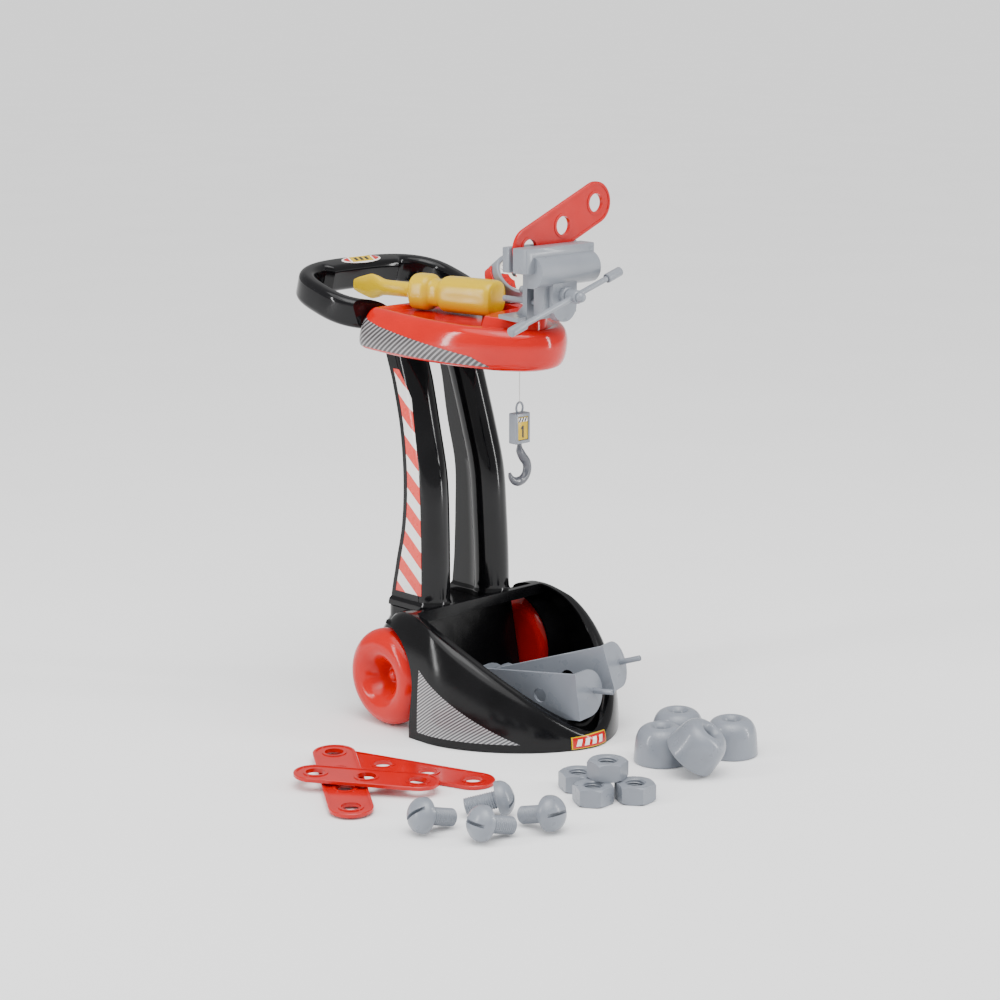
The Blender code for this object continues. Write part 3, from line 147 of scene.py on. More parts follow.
def hazard_print(name):
    """Red and white slanting stripes."""
    n = Nodes(name)
    _, y, z = n.xyz()
    phase = n.math("DIVIDE", n.math("SUBTRACT", z, n.math("MULTIPLY", y, 0.82)), 0.0322)
    stripes = square_wave(n, n.math("ADD", phase, 0.81), 0.54, 0.012)
    worn = n.remap(n.noise(140.0, 4.0), 0.22, 0.34)
    colour = n.mix(stripes, (0.88, 0.87, 0.85), (0.80, 0.045, 0.030))
    n.bump(n.noise(700.0, 2.0), 0.12, 0.0001)
    return n.surface(colour, worn, 0.25)


def steel_material():
    n = Nodes("plain_steel")
    tint = n.mix(n.remap(n.noise(300.0), 0.0, 1.0), (0.50, 0.50, 0.51), (0.62, 0.62, 0.63))
    n.bump(n.noise(1500.0), 0.2, 0.00008)
    return n.surface(tint, n.remap(n.noise(200.0), 0.22, 0.36), 0.0, 1.0)


def string_material():
    """Twisted white yarn: fine slanting strands."""
    n = Nodes("white_string_yarn")
    x, _, z = n.xyz()
    strands = square_wave(n, n.math("DIVIDE", n.math("ADD", z, x), 0.0009), 0.6, 0.2)
    n.bump(strands, 0.6, 0.0002)
    return n.surface(n.mix(strands, (0.62, 0.61, 0.59), (0.90, 0.89, 0.87)), 0.75)


BLACK_BASE = plastic("black_base_plastic", (0.0030, 0.0030, 0.0036), 0.16, 0.0, 0.2, 0.03, 1.33)
BLACK_GLOSS = plastic("black_gloss_plastic", (0.0030, 0.0030, 0.0038), 0.11, 0.0, 0.2, 0.02, 1.36)
BLACK_PLAIN = plastic("black_plain_plastic", (0.020, 0.020, 0.021), 0.42)
RED_TRAY = plastic("red_tray_plastic", (0.56, 0.002, 0.0005), 0.12, 0.1, 0.05, 0.02, 1.40)
RED_WHEEL = plastic("red_wheel_plastic", (0.54, 0.002, 0.0005), 0.18, 0.0, 0.05, 0.05, 1.40)
RED_STRIP = plastic("red_strip_plastic", (0.50, 0.0015, 0.0015), 0.18, 0.1, 0.06, 0.04, 1.42)
YELLOW = plastic("yellow_tool_plastic", (0.62, 0.41, 0.0), 0.22, 0.0, 0.04, 0.03, 1.40)
SILVER = plastic("blue_grey_plastic", (0.215, 0.232, 0.262), 0.30, 0.2, 0.06, 0.03)
GREY = plastic("grey_piece_plastic", (0.205, 0.224, 0.258), 0.30, 0.25, 0.06, 0.04)
DARK_GREY = plastic("dark_hook_plastic", (0.075, 0.079, 0.094), 0.25, 0.4, 0.08, 0.04)
TRAY_WEAVE = woven_print("tray_weave", 0.0052, 0.80, (0.34, 0.32, 0.33), (0.055, 0.050, 0.052))
BASE_WEAVE = woven_print("base_weave", 0.0034, 0.75, (0.42, 0.42, 0.43), (0.075, 0.075, 0.08))
HAZARD = hazard_print("hazard_stripes")
STEEL = steel_material()
BADGE_WHITE = plastic("print_white", (0.86, 0.85, 0.83), 0.28, 0.2)
CREAM = plastic("dial_cream_card", (0.83, 0.80, 0.68), 0.45)
STRING = string_material()


# ---------------------------------------------------------------- mesh helpers
move = Matrix.Translation


def grid(rows, ring=False, loop=False):
    """A bmesh of quads through rows of points. Rows may be rings, and may close into a loop."""
    bm = bmesh.new()
    made = [[bm.verts.new(p) for p in row] for row in rows]
    count = len(rows[0])
    for a, b in zip(made, made[1:] + made[:1] if loop else made[1:]):
        for i in range(count if ring else count - 1):
            j = (i + 1) % count
            bm.faces.new((a[i], a[j], b[j], b[i]))
    return bm


def loft(rings, caps=True):
    """A bmesh through closed rings of equal point counts, with flat end caps or none."""
    bm = grid(rings, True, not caps)
    if caps:
        bm.verts.ensure_lookup_table()
        count = len(rings[0])
        bm.faces.new(bm.verts[:count])
        bm.faces.new(bm.verts[-count:])
    return bm


def add_object(name, data):
    obj = bpy.data.objects.new(name, data)
    bpy.context.scene.collection.objects.link(obj)
    return obj


def new_object(name, bm, matrix=None):
    bmesh.ops.recalc_face_normals(bm, faces=bm.faces)
    if matrix is not None:
        bmesh.ops.transform(bm, matrix=matrix, verts=bm.verts)
    mesh = bpy.data.meshes.new(name)
    bm.to_mesh(mesh)
    bm.free()
    return add_object(name, mesh)


def block(name, low, high, matrix=None, bevel=0.0):
    bm = bmesh.new()
    bmesh.ops.create_cube(bm, size=1.0)
    bmesh.ops.scale(bm, vec=[h - l for l, h in zip(low, high)], verts=bm.verts)
    bmesh.ops.translate(bm, vec=[(h + l) / 2 for l, h in zip(low, high)], verts=bm.verts)
    if bevel:
        bmesh.ops.bevel(bm, geom=list(bm.edges), offset=bevel, segments=3, profile=0.5,
                        affect="EDGES")
    return new_object(name, bm, matrix)


def spin(angle, axis):
    """Rotation by an angle in degrees."""
    return Matrix.Rotation(radians(angle), 4, axis)


def aimed(direction):
    """Rotation that takes +Z to a direction."""
    return Vector((0, 0, 1)).rotation_difference(direction).to_matrix().to_4x4()


def circle(steps):
    """Cosine and sine of evenly spaced angles round a full turn."""
    return [(cos(2 * pi * k / steps), sin(2 * pi * k / steps)) for k in range(steps)]


def signed_power(value, power):
    return copysign(abs(value) ** power, value)


def rod(name, start, end, radius, sides=48):
    start, end = Vector(start), Vector(end)
    axis = end - start
    bm = bmesh.new()
    bmesh.ops.create_cone(bm, cap_ends=True, segments=sides, radius1=radius, radius2=radius,
                          depth=axis.length)
    return new_object(name, bm, move((start + end) / 2) @ aimed(axis.normalized()))


def prism(name, outline, low, high):
    """An outline of (y, z) points, extruded along X."""
    return new_object(name, loft([[(x, a, b) for a, b in outline] for x in (low, high)]))


def turned(name, profile, steps, matrix=None):
    """A closed or axis-to-axis profile of (radius, height) points, turned about its own Z."""
    closed = min(profile[0][0], profile[-1][0]) > 1e-6
    bm = grid([[(r * c, r * s, h) for r, h in profile] for c, s in circle(steps)], closed, True)
    bmesh.ops.remove_doubles(bm, verts=bm.verts, dist=1e-6)
    bmesh.ops.dissolve_degenerate(bm, edges=bm.edges, dist=1e-7)
    return new_object(name, bm, matrix)


def threaded(radius_at, low, length, pitch, steps):
    """Rod along Z with a one-start thread, from a radius for each wave (0 to 1) and height."""
    rings = []
    for k in range(round(length / pitch * steps) + 1):
        z = low + pitch * k / steps
        ring = []
        for j in range(steps):
            a = 2 * pi * j / steps
            r = radius_at(0.5 + 0.5 * cos(a - 2 * pi * k / steps), z)
            ring.append((r * cos(a), r * sin(a), z))
        rings.append(ring)
    return loft(rings)


def cut(target, cutter, operation="DIFFERENCE"):
    """Apply one Boolean at once and remove the cutter."""
    mod = target.modifiers.new("cut", "BOOLEAN")
    mod.operation = operation
    mod.object = cutter
    mod.solver = "EXACT"
    bpy.context.view_layer.update()
    graph = bpy.context.evaluated_depsgraph_get()
    mesh = bpy.data.meshes.new_from_object(target.evaluated_get(graph))
    target.modifiers.clear()
    target.data = mesh
    bpy.data.objects.remove(cutter, do_unlink=True)


def dress(obj, node, material, bevel=0.0, angle=32.0):
    """Material, soft edges, and the body and material slot of a CAD node."""
    mesh = obj.data
    if obj.type == "MESH":
        mesh.shade_smooth()
        mesh.set_sharp_from_angle(angle=radians(angle))
        if bevel:
            mod = obj.modifiers.new("Soft edges", "BEVEL")
            mod.width = bevel
            mod.segments = 2
            mod.limit_method = "ANGLE"
            mod.angle_limit = radians(angle + 4)
            mod.harden_normals = True
            mod.use_clamp_overlap = True
    mesh.materials.clear()
    mesh.materials.append(material)
    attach(obj, BODY_OF[node])


def stand_for(obj, node, material, bevel=0.0, angle=32.0):
    """Dress a piece and let it take the place of its CAD node."""
    dress(obj, node, material, bevel, angle)
    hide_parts(node)


def refined(node, material, bevel=0.0005, angle=35.0):
    """A copy of a CAD node with its facets merged, smooth shading and soft edges."""
    bm = bmesh.new()
    bm.from_mesh(frame["nodes"][node].data)
    bmesh.ops.remove_doubles(bm, verts=bm.verts, dist=2e-6)
    bmesh.ops.dissolve_limit(bm, angle_limit=radians(0.6), verts=bm.verts, edges=bm.edges)
    stand_for(new_object(node + "_shell", bm), node, material, bevel, angle)


def spline(a, b, c, d, t):
    """Point between b and c of the Catmull-Rom curve through four points."""
    return tuple(0.5 * (2 * q + (r - p) * t + (2 * p - 5 * q + 4 * r - s) * t * t
                        + (3 * q - p - 3 * r + s) * t ** 3) for p, q, r, s in zip(a, b, c, d))


def arc(cx, cy, radius, start, stop, steps):
    """Points of an arc, angles in degrees, both ends included."""
    points = []
    for i in range(steps + 1):
        a = radians(start + (stop - start) * i / steps)
        points.append((cx + radius * cos(a), cy + radius * sin(a)))
    return points


def smooth_path(points, per_span):
    """Catmull-Rom curve through points of any dimension, ends included."""
    out = []
    last = len(points) - 1
    for i in range(last):
        near = [points[min(max(j, 0), last)] for j in range(i - 1, i + 3)]
        out += [spline(*near, k / per_span) for k in range(per_span)]
    return out + [tuple(points[-1])]


def superellipse_xy(t, half_w, start_y, length, power):
    """Quarter of a pointed nose: t = 0 at its side, t = 1 at its tip."""
    a = radians(90 * t)
    x = half_w * max(cos(a), 0.0) ** (2 / power)
    y = start_y - length * sin(a) ** (2 / power)
    return x, y


# ---------------------------------------------------------------- base bin
WHEEL_R, WHEEL_X, WHEEL_HALF_W, AXLE_Y = 0.0500, 0.0965, 0.0165, -0.0050
BASE_HALF_W, BASE_REAR_Y = 0.1155, -0.004
BASE_NOSE = (-0.080, 0.125, 1.66)           # start, length, power
RIM_HALF_W, RIM_NOSE = 0.0935, (-0.065, 0.124, 1.75)
RIM_TOP_Z, RIM_LIP_Z, MOUTH_REAR_Y = 0.1205, 0.024, -0.034
WALL, FLOOR_Z, WALL_ROLL = 0.003, 0.006, 2.5
DECK_Z, DECK_HALF_W, DECK_REAR_Y = 0.112, 0.0640, 0.0395
BOX_HALF_W, BOX_REAR_Y, BOX_SHOULDER_Z = 0.0735, 0.055, 0.066
ARCH_R, ARCH_INNER_X, LINER_T = 0.0575, 0.0722, 0.003
REAR_WALL_TOP_Y, REAR_WALL_LOW_Y = -0.007, -0.0275
PANEL_REAR_Y, PANEL_LEN, PANEL_LOW_Z, PANEL_TOP_Z = -0.0665, 0.1015, 0.0085, 0.0725


def rim_height(y):
    """Height of the bin's edge: level at the deck, then down to the lip at the nose."""
    t = (MOUTH_REAR_Y - y) / (MOUTH_REAR_Y - RIM_NOSE[0] + RIM_NOSE[1])
    t = min(max(t, 0.0), 1.0)
    return RIM_TOP_Z - (RIM_TOP_Z - RIM_LIP_Z) * t ** 1.6 - 0.0075 * t ** 12


def nose_pair(t, wall=0.0):
    """Foot and rim points of the base's wall at t = 0 (side) to 1 (tip of the nose)."""
    foot = superellipse_xy(t, BASE_HALF_W - wall, BASE_NOSE[0], BASE_NOSE[1] - wall, BASE_NOSE[2])
    rim = superellipse_xy(t, RIM_HALF_W - wall * 0.75, RIM_NOSE[0], RIM_NOSE[1] - wall * 0.75,
                          RIM_NOSE[2])
    return foot, rim


def base_stations(wall=0.0):
    """Foot and rim points of the side wall, from its rear end to the tip of the nose."""
    side = [(y, x, y) for y, x in ((BASE_REAR_Y, 0.0880), (-0.020, 0.0888),
                                   (MOUTH_REAR_Y, 0.0900), (-0.050, 0.0925))]
    side = smooth_path(side + [(RIM_NOSE[0], RIM_HALF_W, BASE_NOSE[0])], 3)[:-1]
    pairs = [((BASE_HALF_W - wall, foot_y), (x - wall * 0.75, y)) for y, x, foot_y in side]
    return pairs + [nose_pair(i / 40, wall) for i in range(41)]


def wall_point(foot, rim, low, high, share):
    """Point of a wall that starts upright at the floor and rolls over into the rim."""
    a = radians(90 * share)
    inward = 1 - max(cos(a), 0.0) ** (2 / WALL_ROLL)
    up = sin(a) ** (2 / WALL_ROLL)
    return (foot[0] + (rim[0] - foot[0]) * inward, foot[1] + (rim[1] - foot[1]) * inward,
            low + (high - low) * up)


def wall_section(foot, rim, low, high):
    return [wall_point(foot, rim, low, high, i / 24) for i in range(25)]


def hull_solid(name, sections):
    """Closed solid from wall sections of one side, mirrored, with a lid and a floor."""
    bm = bmesh.new()
    right = [[bm.verts.new(p) for p in s] for s in sections]
    left = [[bm.verts.new((-p[0], p[1], p[2])) for p in s] for s in sections[:-1]]
    around = right + left[::-1]
    levels = len(sections[0])
    for a, b in zip(around[:-1], around[1:]):
        for k in range(levels - 1):
            bm.faces.new((a[k], b[k], b[k + 1], a[k + 1]))
    bm.faces.new(around[0] + around[-1][::-1])
    for level in (0, levels - 1):
        for i in range(len(left) - 1):
            bm.faces.new((right[i][level], right[i + 1][level],
                          left[i + 1][level], left[i][level]))
        last = len(left) - 1
        bm.faces.new((right[last][level], right[last + 1][level], left[last][level]))
    return new_object(name, bm)


def arch_prism(name, sign, grow, inner_x, outer_x):
    front = ARCH_R + grow
    outline = [(-front + 0.0035, -0.012), (-front + 0.0035, 0.0120), (-front + 0.0006, 0.0400)]
    outline += [(-y, z) for y, z in arc(0, WHEEL_R, front, 0, 180, 72)]
    outline += [(front, -0.012)]
    low, high = sorted((sign * inner_x, sign * outer_x))
    return prism(name, outline, low, high)


def tower_solid(name, inset, levels):
    rings = []
    for at_foot, front_y, z in levels:
        half = (BOX_HALF_W if at_foot else DECK_HALF_W) - inset
        rear = (BOX_REAR_Y if at_foot else DECK_REAR_Y) - inset
        corner = arc(half - 0.013, rear - 0.016, 0.013, 0, 90, 8)
        corner = [(x, rear - 0.016 + (y - rear + 0.016) * 16 / 13) for x, y in corner]
        plan = [(half, front_y)] + corner + [(-x, y) for x, y in corner[::-1]] + [(-half, front_y)]
        rings.append([(x, y, z) for x, y in plan])
    return new_object(name, loft(rings))


def base_bin():
    outer = [wall_section(foot, rim, 0.0, rim_height(rim[1])) for foot, rim in base_stations()]
    for depth in range(4):
        # the rear end of each wheel cover is rounded off
        fade = (1 - depth / 4) ** 2
        outer[depth] = [(x - 0.006 * fade * (z / RIM_TOP_Z) ** 4, y,
                         z * (1 - 0.06 * fade * (z / RIM_TOP_Z) ** 4)) for x, y, z in outer[depth]]
    base = hull_solid("base_bin_shell", outer)
    front = MOUTH_REAR_Y + 0.001
    cut(base, tower_solid("tower", 0.0, ((True, front, 0.0), (True, front, BOX_SHOULDER_Z),
                                         (False, front, DECK_Z - 0.012),
                                         (False, front, RIM_TOP_Z - 0.002))), "UNION")
    cut(base, block("deck", (-0.0795, MOUTH_REAR_Y + 0.003, DECK_Z), (0.0795, 0.09, 0.2)))
    cut(base, rod("bore", (-0.0785, AXLE_Y, WHEEL_R), (0.0785, AXLE_Y, WHEEL_R), 0.0034))
    inner = []
    for foot, rim in base_stations(WALL)[5:]:
        top = rim_height(rim[1])
        section = wall_section(foot, rim, FLOOR_Z, top - WALL * 0.8)
        inner.append(section + [(rim[0], rim[1], top + 0.03)])
    inner[0] = [(x, min(y, MOUTH_REAR_Y - 0.0025), z) for x, y, z in inner[0]]
    inner = [inner[0]] + [s for s in inner[1:] if s[0][1] < MOUTH_REAR_Y - 0.004]
    cut(base, hull_solid("bin", inner))
    cut(base, prism("under_deck", [(-0.045, FLOOR_Z), (REAR_WALL_LOW_Y, FLOOR_Z),
                                   (REAR_WALL_TOP_Y, DECK_Z - WALL), (-0.045, DECK_Z - WALL)],
                    -0.097, 0.097))
    for sign in (-1, 1):
        middle = []
        for foot, rim in base_stations(WALL / 2):
            section = wall_section(foot, rim, 0.0020, rim_height(rim[1]) - WALL / 2)
            middle.append([(x, min(y, BASE_REAR_Y - 0.001), z) for x, y, z in section])
        liner = arch_prism("liner", sign, LINER_T, ARCH_INNER_X + 0.007, 0.1300)
        cut(liner, hull_solid("liner_limit", middle), "INTERSECT")
        cut(base, liner, "UNION")
        cut(base, arch_prism("arch", sign, 0.0, ARCH_INNER_X, 0.1400))
    slope = (REAR_WALL_TOP_Y - REAR_WALL_LOW_Y) / (DECK_Z - FLOOR_Z)
    hollow = [(foot, REAR_WALL_LOW_Y + WALL + slope * (z - FLOOR_Z), z) for foot, z in (
        (True, -0.01), (True, BOX_SHOULDER_Z - 0.001), (False, DECK_Z - 0.0135),
        (False, DECK_Z - WALL))]
    cut(base, tower_solid("hollow", WALL, hollow))
    stand_for(base, "base_bin", BLACK_BASE, 0.0009, 30.0)


def base_panels():
    """Printed carbon-look wedge on each side of the base, from the wheel arch to the nose."""
    low = PANEL_LOW_Z
    for side, sign in SIDES:
        rows = []
        for i in range(41):
            along = i / 40
            y = PANEL_REAR_Y - PANEL_LEN * along
            top = max(PANEL_TOP_Z + (low - PANEL_TOP_Z) * along ** 0.93, low + 0.0003)
            rows.append([base_skin(sign, y, low + (top - low) * k / 16) for k in range(17)])
        dress(new_object("base_panel_" + side, grid(rows)), "base_bin", BASE_WEAVE)


def base_skin(sign, y, z):
    """Point at a given y and z that lies just outside the base's side."""
    low, high = 0.0, 1.0
    for _ in range(40):
        t = (low + high) / 2
        foot, rim = side_pair(t)
        top = rim_height(rim[1])
        share = degrees(asin(min(z / top, 1.0) ** (WALL_ROLL / 2))) / 90
        skin = wall_point(foot, rim, 0.0, top, share)
        if skin[1] > y:
            low = t
        else:
            high = t
    return sign * (skin[0] + SKIN), skin[1] - SKIN * 0.3, z


def side_pair(t):
    """Foot and rim of the wall from behind the arch (t = 0) to the nose's tip (t = 1)."""
    if t >= 0.25:
        return nose_pair((t - 0.25) / 0.75)
    u = t / 0.25
    return ((BASE_HALF_W, MOUTH_REAR_Y + (BASE_NOSE[0] - MOUTH_REAR_Y) * u),
            (0.0900 + (RIM_HALF_W - 0.0900) * u, MOUTH_REAR_Y + (RIM_NOSE[0] - MOUTH_REAR_Y) * u))


def wheels():
    tube_r = 0.0158
    ring_r = WHEEL_R - tube_r
    tyre = [(ring_r + tube_r * cos(radians(a)), WHEEL_HALF_W * sin(radians(a)))
            for a in range(90, -91, -6)]
    hub = smooth_path([(0.0034, -0.0080), (0.0085, -0.0080), (0.0106, -0.0064), (0.0150, 0.0020),
                       (0.0215, 0.0110), (0.0280, 0.0155), (ring_r, WHEEL_HALF_W)], 6)
    profile = tyre + [(0.0120, -WHEEL_HALF_W), (0.0034, -WHEEL_HALF_W)] + hub[:-1]
    seam = [(WHEEL_R - depth, z) for depth, z in ((0.0006, -0.0006), (0.0001, -0.0003),
                                                  (0.0001, 0.0003), (0.0006, 0.0006))]
    for side, sign in SIDES:
        node = "wheel_" + side
        place = move((sign * WHEEL_X, AXLE_Y, WHEEL_R)) @ spin(90 * sign, "Y")
        stand_for(turned(node + "_shell", profile, 120, place), node, RED_WHEEL)
        dress(turned(node + "_seam", seam, 120, place), node, RED_WHEEL)
        refined("axle_cap_" + side, RED_TRAY, 0.0002)
    refined("axle", STEEL, 0.0003)


# ---------------------------------------------------------------- columns
COLUMN_R, COLUMN_INNER, COLUMN_OUTER = 0.0185, 0.0150, 0.0185
COLUMN_STATIONS = (
    (0.112, 0.0335, 0.0350, -0.0100, 0.0422),
    (0.150, 0.0265, 0.0310, -0.0098, 0.0418),
    (0.200, 0.0165, 0.0278, -0.0082, 0.0407),
    (0.250, 0.0150, 0.0270, -0.0045, 0.0397),
    (0.300, 0.0215, 0.0370, 0.0078, 0.0380),
    (0.345, 0.0345, 0.0430, 0.0205, 0.0360),
    (0.385, 0.0490, 0.0530, 0.0340, 0.0345),
)
STRIPE_LOW_Z, STRIPE_TOP_Z = 0.1285, 0.3580
TRAY_Z, TRAY_TILT = 0.3765, atan(0.06)


def column_values(z):
    """Outer rear, inner rear, front centre and middle of a column at a height."""
    keys = [s[0] for s in COLUMN_STATIONS]
    last = len(keys) - 1
    i = min(sum(1 for k in keys[1:] if k <= z), last - 1)
    near = [COLUMN_STATIONS[max(0, min(j, last))] for j in range(i - 1, i + 3)]
    return spline(*near, (z - keys[i]) / (keys[i + 1] - keys[i]))[1:]


def column_outline(z, grow=0.0):
    outer_y, inner_y, front_y, middle = column_values(z)
    inner_x, outer_x = middle - COLUMN_INNER - grow, middle + COLUMN_OUTER + grow
    outer_y, inner_y = outer_y + grow, inner_y + grow
    points = [(inner_x + (outer_x - inner_x) * k / 6, inner_y + (outer_y - inner_y) * k / 6)
              for k in range(7)]
    groove = 0.0007 if grow == 0.0 else 0.0
    seam_y = front_y + 0.0012
    points += [(outer_x, outer_y + (seam_y - outer_y) * k / 5) for k in range(1, 6)]
    points += [(outer_x - groove, seam_y - 0.0006), (outer_x, front_y)]
    front = arc(middle, front_y, COLUMN_R + grow, 0, -180 - 35.8, 48)[1:]
    front[-1] = (inner_x, front[-1][1])
    points += front
    points += [(inner_x, front[-1][1] + (inner_y - front[-1][1]) * k / 4) for k in (1, 2, 3)]
    return points


def tray_height(y, local=0.0):
    return TRAY_Z + local + tan(TRAY_TILT) * y


def columns():
    heights = [0.1123, 0.1128, 0.1165, 0.1180, 0.1192, 0.1204, 0.1218]
    heights += [0.1218 + (0.385 - 0.1218) * k / 60 for k in range(1, 61)]
    collar = [0.0016, 0.0016, 0.0016, 0.0015, 0.0011, 0.0004] + [0.0] * 61
    for side, sign in SIDES:
        rings = [[(sign * x, y, min(z, tray_height(y, 0.0015) - 0.0003))
                  for x, y in column_outline(z, grow)] for z, grow in zip(heights, collar)]
        column = new_object("column_%s_shell" % side, loft(rings))
        stand_for(column, "column_" + side, BLACK_GLOSS, 0.0009, 34.0)
        stripe(side, sign)
        for end in ("foot", "head"):
            refined("%s_screw_%s" % (end, side), STEEL, 0.0002)


def stripe(side, sign):
    """Striped film on the flat outer side of a column, drawn round its front edge."""
    rows = []
    for i in range(81):
        z = STRIPE_LOW_Z + (STRIPE_TOP_Z - STRIPE_LOW_Z) * i / 80
        rear, _, front_y, middle = column_values(z)
        rear -= 0.0060
        front = front_y - 0.0035 - 0.0060 * min(max((z - 0.24) / 0.10, 0.0), 1.0)
        front = rear + (front - rear) * (1 - 0.5 * max(z - 0.330, 0.0) / 0.028)
        row = []
        for k in range(17):
            y = rear + (front - rear) * k / 16
            round_off = COLUMN_R - sqrt(COLUMN_R ** 2 - min(y - front_y, 0.0) ** 2)
            row.append((sign * (middle + COLUMN_OUTER + SKIN - round_off), y, z))
        rows.append(row)
    dress(new_object("column_stripe_" + side, grid(rows)), "column_" + side, HAZARD)


# ---------------------------------------------------------------- tray
TRAY_HALF_W, TRAY_REAR_Y, TRAY_CORNER_R = 0.082, 0.065, 0.018
TRAY_NOSE_START, TRAY_NOSE_Y, TRAY_NOSE_POWER = 0.030, -0.140, 2.07
TRAY_FLOOR, TRAY_FLOOR_SLOPE, TRAY_PLATFORM = 0.0375, -0.030, 0.0500
TRAY_LEVELS = ((0.0040, 0.0110, 0.0), (0.0008, 0.0050, 0.0030), (0.0, 0.0018, 0.0090),
               (0.0012, 0.0002, 0.0180), (0.0045, 0.0, 0.0270), (0.0085, 0.0022, 0.0350),
               (0.0125, 0.0060, 0.0395), (0.0170, 0.0105, 0.0412), (0.0215, 0.0165, 0.0402))
TRAY_FRAME = move((0, 0, TRAY_Z)) @ Matrix.Rotation(TRAY_TILT, 4, "X")


def tray_outline(inset=0.0):
    half, rear = TRAY_HALF_W - inset, TRAY_REAR_Y - inset
    corner = max(TRAY_CORNER_R - inset, 0.003)
    points = arc(half - corner, rear - corner, corner, 90, 0, 12)
    points += [(half, rear - corner + (TRAY_NOSE_START - rear + corner) * k / 5)
               for k in range(1, 5)]
    length = TRAY_NOSE_START - TRAY_NOSE_Y - inset
    points += [superellipse_xy(i / 40, half, TRAY_NOSE_START, length, TRAY_NOSE_POWER)
               for i in range(41)]
    return points + [(-x, y) for x, y in points[-2::-1]]


def tray_ring(rear, nose, z, slope=0.0):
    ring = []
    for (ax, ay), (bx, by) in zip(tray_outline(rear), tray_outline(nose)):
        t = min(max((0.045 - ay) / 0.15, 0.0), 1.0)
        t = t * t * (3 - 2 * t)
        y = ay + (by - ay) * t
        ring.append((ax + (bx - ax) * t, y, z + slope * y))
    return ring


def tray_blank(name, grow):
    rings = [tray_ring(rear - grow, nose - grow, z)
             for rear, nose, z in smooth_path(TRAY_LEVELS, 5)]
    for share in (0.35, 0.7):
        rings.append(tray_ring(0.0215 + 0.0035 * share, 0.0165 + 0.004 * share,
                               0.0402 + (TRAY_FLOOR + 0.0006 - 0.0402) * share,
                               TRAY_FLOOR_SLOPE * share))
    rings.append(tray_ring(0.0250, 0.0205, TRAY_FLOOR + 0.0006, TRAY_FLOOR_SLOPE))
    rings.append(tray_ring(0.0280, 0.0235, TRAY_FLOOR, TRAY_FLOOR_SLOPE))
    return new_object(name, loft(rings), TRAY_FRAME)


def platform_ring(grow, z):
    """Plan of the vice's raised seat with the gauge's pad beside it."""
    nose = [(x * 0.60, y * 0.86) for x, y in tray_outline() if y < (-0.05 if x > 0 else -0.09)]
    points = [(nose[0][0], -0.012)] + nose + [(-0.010, -0.070), (0.0265, -0.064), (0.0290, -0.012)]
    middle = (0.026, -0.075)
    return [(px + (px - middle[0]) * grow, py + (py - middle[1]) * grow, z) for px, py in points]


def tray():
    top = tray_blank("tray_shell", 0.0)
    seat = loft([platform_ring(grow, z) for grow, z in smooth_path(
        ((0.12, 0.0315), (0.07, 0.0400), (0.020, 0.0482), (0.0, TRAY_PLATFORM)), 4)])
    cut(top, new_object("seat", seat, TRAY_FRAME), "UNION")
    inside = ((0.0070, 0.0170, -0.01), (0.0070, 0.0170, 0.0040), (0.0062, 0.0050, 0.0200),
              (0.0130, 0.0085, 0.0280))
    cut(top, new_object("inside", loft([tray_ring(*level) for level in inside]), TRAY_FRAME))
    stand_for(top, "tray", RED_TRAY, 0.0009, 30.0)
    refined("tray_cover", BLACK_PLAIN, 0.0004)
    tray_panels()


def tray_panels():
    """Printed carbon-look panel along each side of the tray, pointed towards the nose."""
    levels = [tray_ring(rear - SKIN, nose - SKIN, z)
              for rear, nose, z in smooth_path(TRAY_LEVELS, 10)]
    picked = [i for i in range(7, len(levels[0]) // 2) if levels[0][i][1] > -0.097]
    for side, sign in SIDES:
        rows = []
        for n, i in enumerate(picked):
            share = n / (len(picked) - 1)
            low = 9.0 + 3.0 * share
            high = 46.0 - 24.0 * share - 8.0 * max(share - 0.88, 0.0) / 0.12
            row = []
            for k in range(15):
                at = low + (max(high, low + 1.0) - low) * k / 14
                below, above = levels[int(at)][i], levels[int(at) + 1][i]
                x, y, z = (a + (b - a) * (at - int(at)) for a, b in zip(below, above))
                row.append((sign * x, y, z))
            rows.append(row)
        dress(new_object("tray_panel_" + side, grid(rows), TRAY_FRAME), "tray", TRAY_WEAVE)


# ---------------------------------------------------------------- handle ring
RING_HALF_W, RING_LEN, RING_Y = 0.0920, 0.0535, 0.1010
RING_Z, RING_HEIGHT_Y, RING_SLOPE, RING_POWER = 0.4165, 0.070, 0.30, 3.0
RING_THICK, RING_TALL, RING_CORNER_R = 0.0175, 0.030, 0.0070
GRIP_HALF_W, GRIP_EXTRA = 0.044, 0.008
RING_UP = Vector((0, -RING_SLOPE, 1)).normalized()


def ring_point(t):
    a = 2 * pi * t
    y = RING_Y + RING_LEN * signed_power(sin(a), 2 / RING_POWER)
    return Vector((RING_HALF_W * signed_power(cos(a), 2 / RING_POWER), y,
                   RING_Z + RING_SLOPE * (y - RING_HEIGHT_Y)))


def ring_shape():
    """160 places round the ring that are evenly far apart along it."""
    fine = [ring_point((i + 0.5) / 2400) for i in range(2400)]
    lengths = [0.0]
    for a, b in zip(fine, fine[1:] + fine[:1]):
        lengths.append(lengths[-1] + (b - a).length)
    places, at = [], 0
    for k in range(160):
        while lengths[at + 1] < lengths[-1] * k / 160:
            at += 1
        places.append(fine[at])
    return places


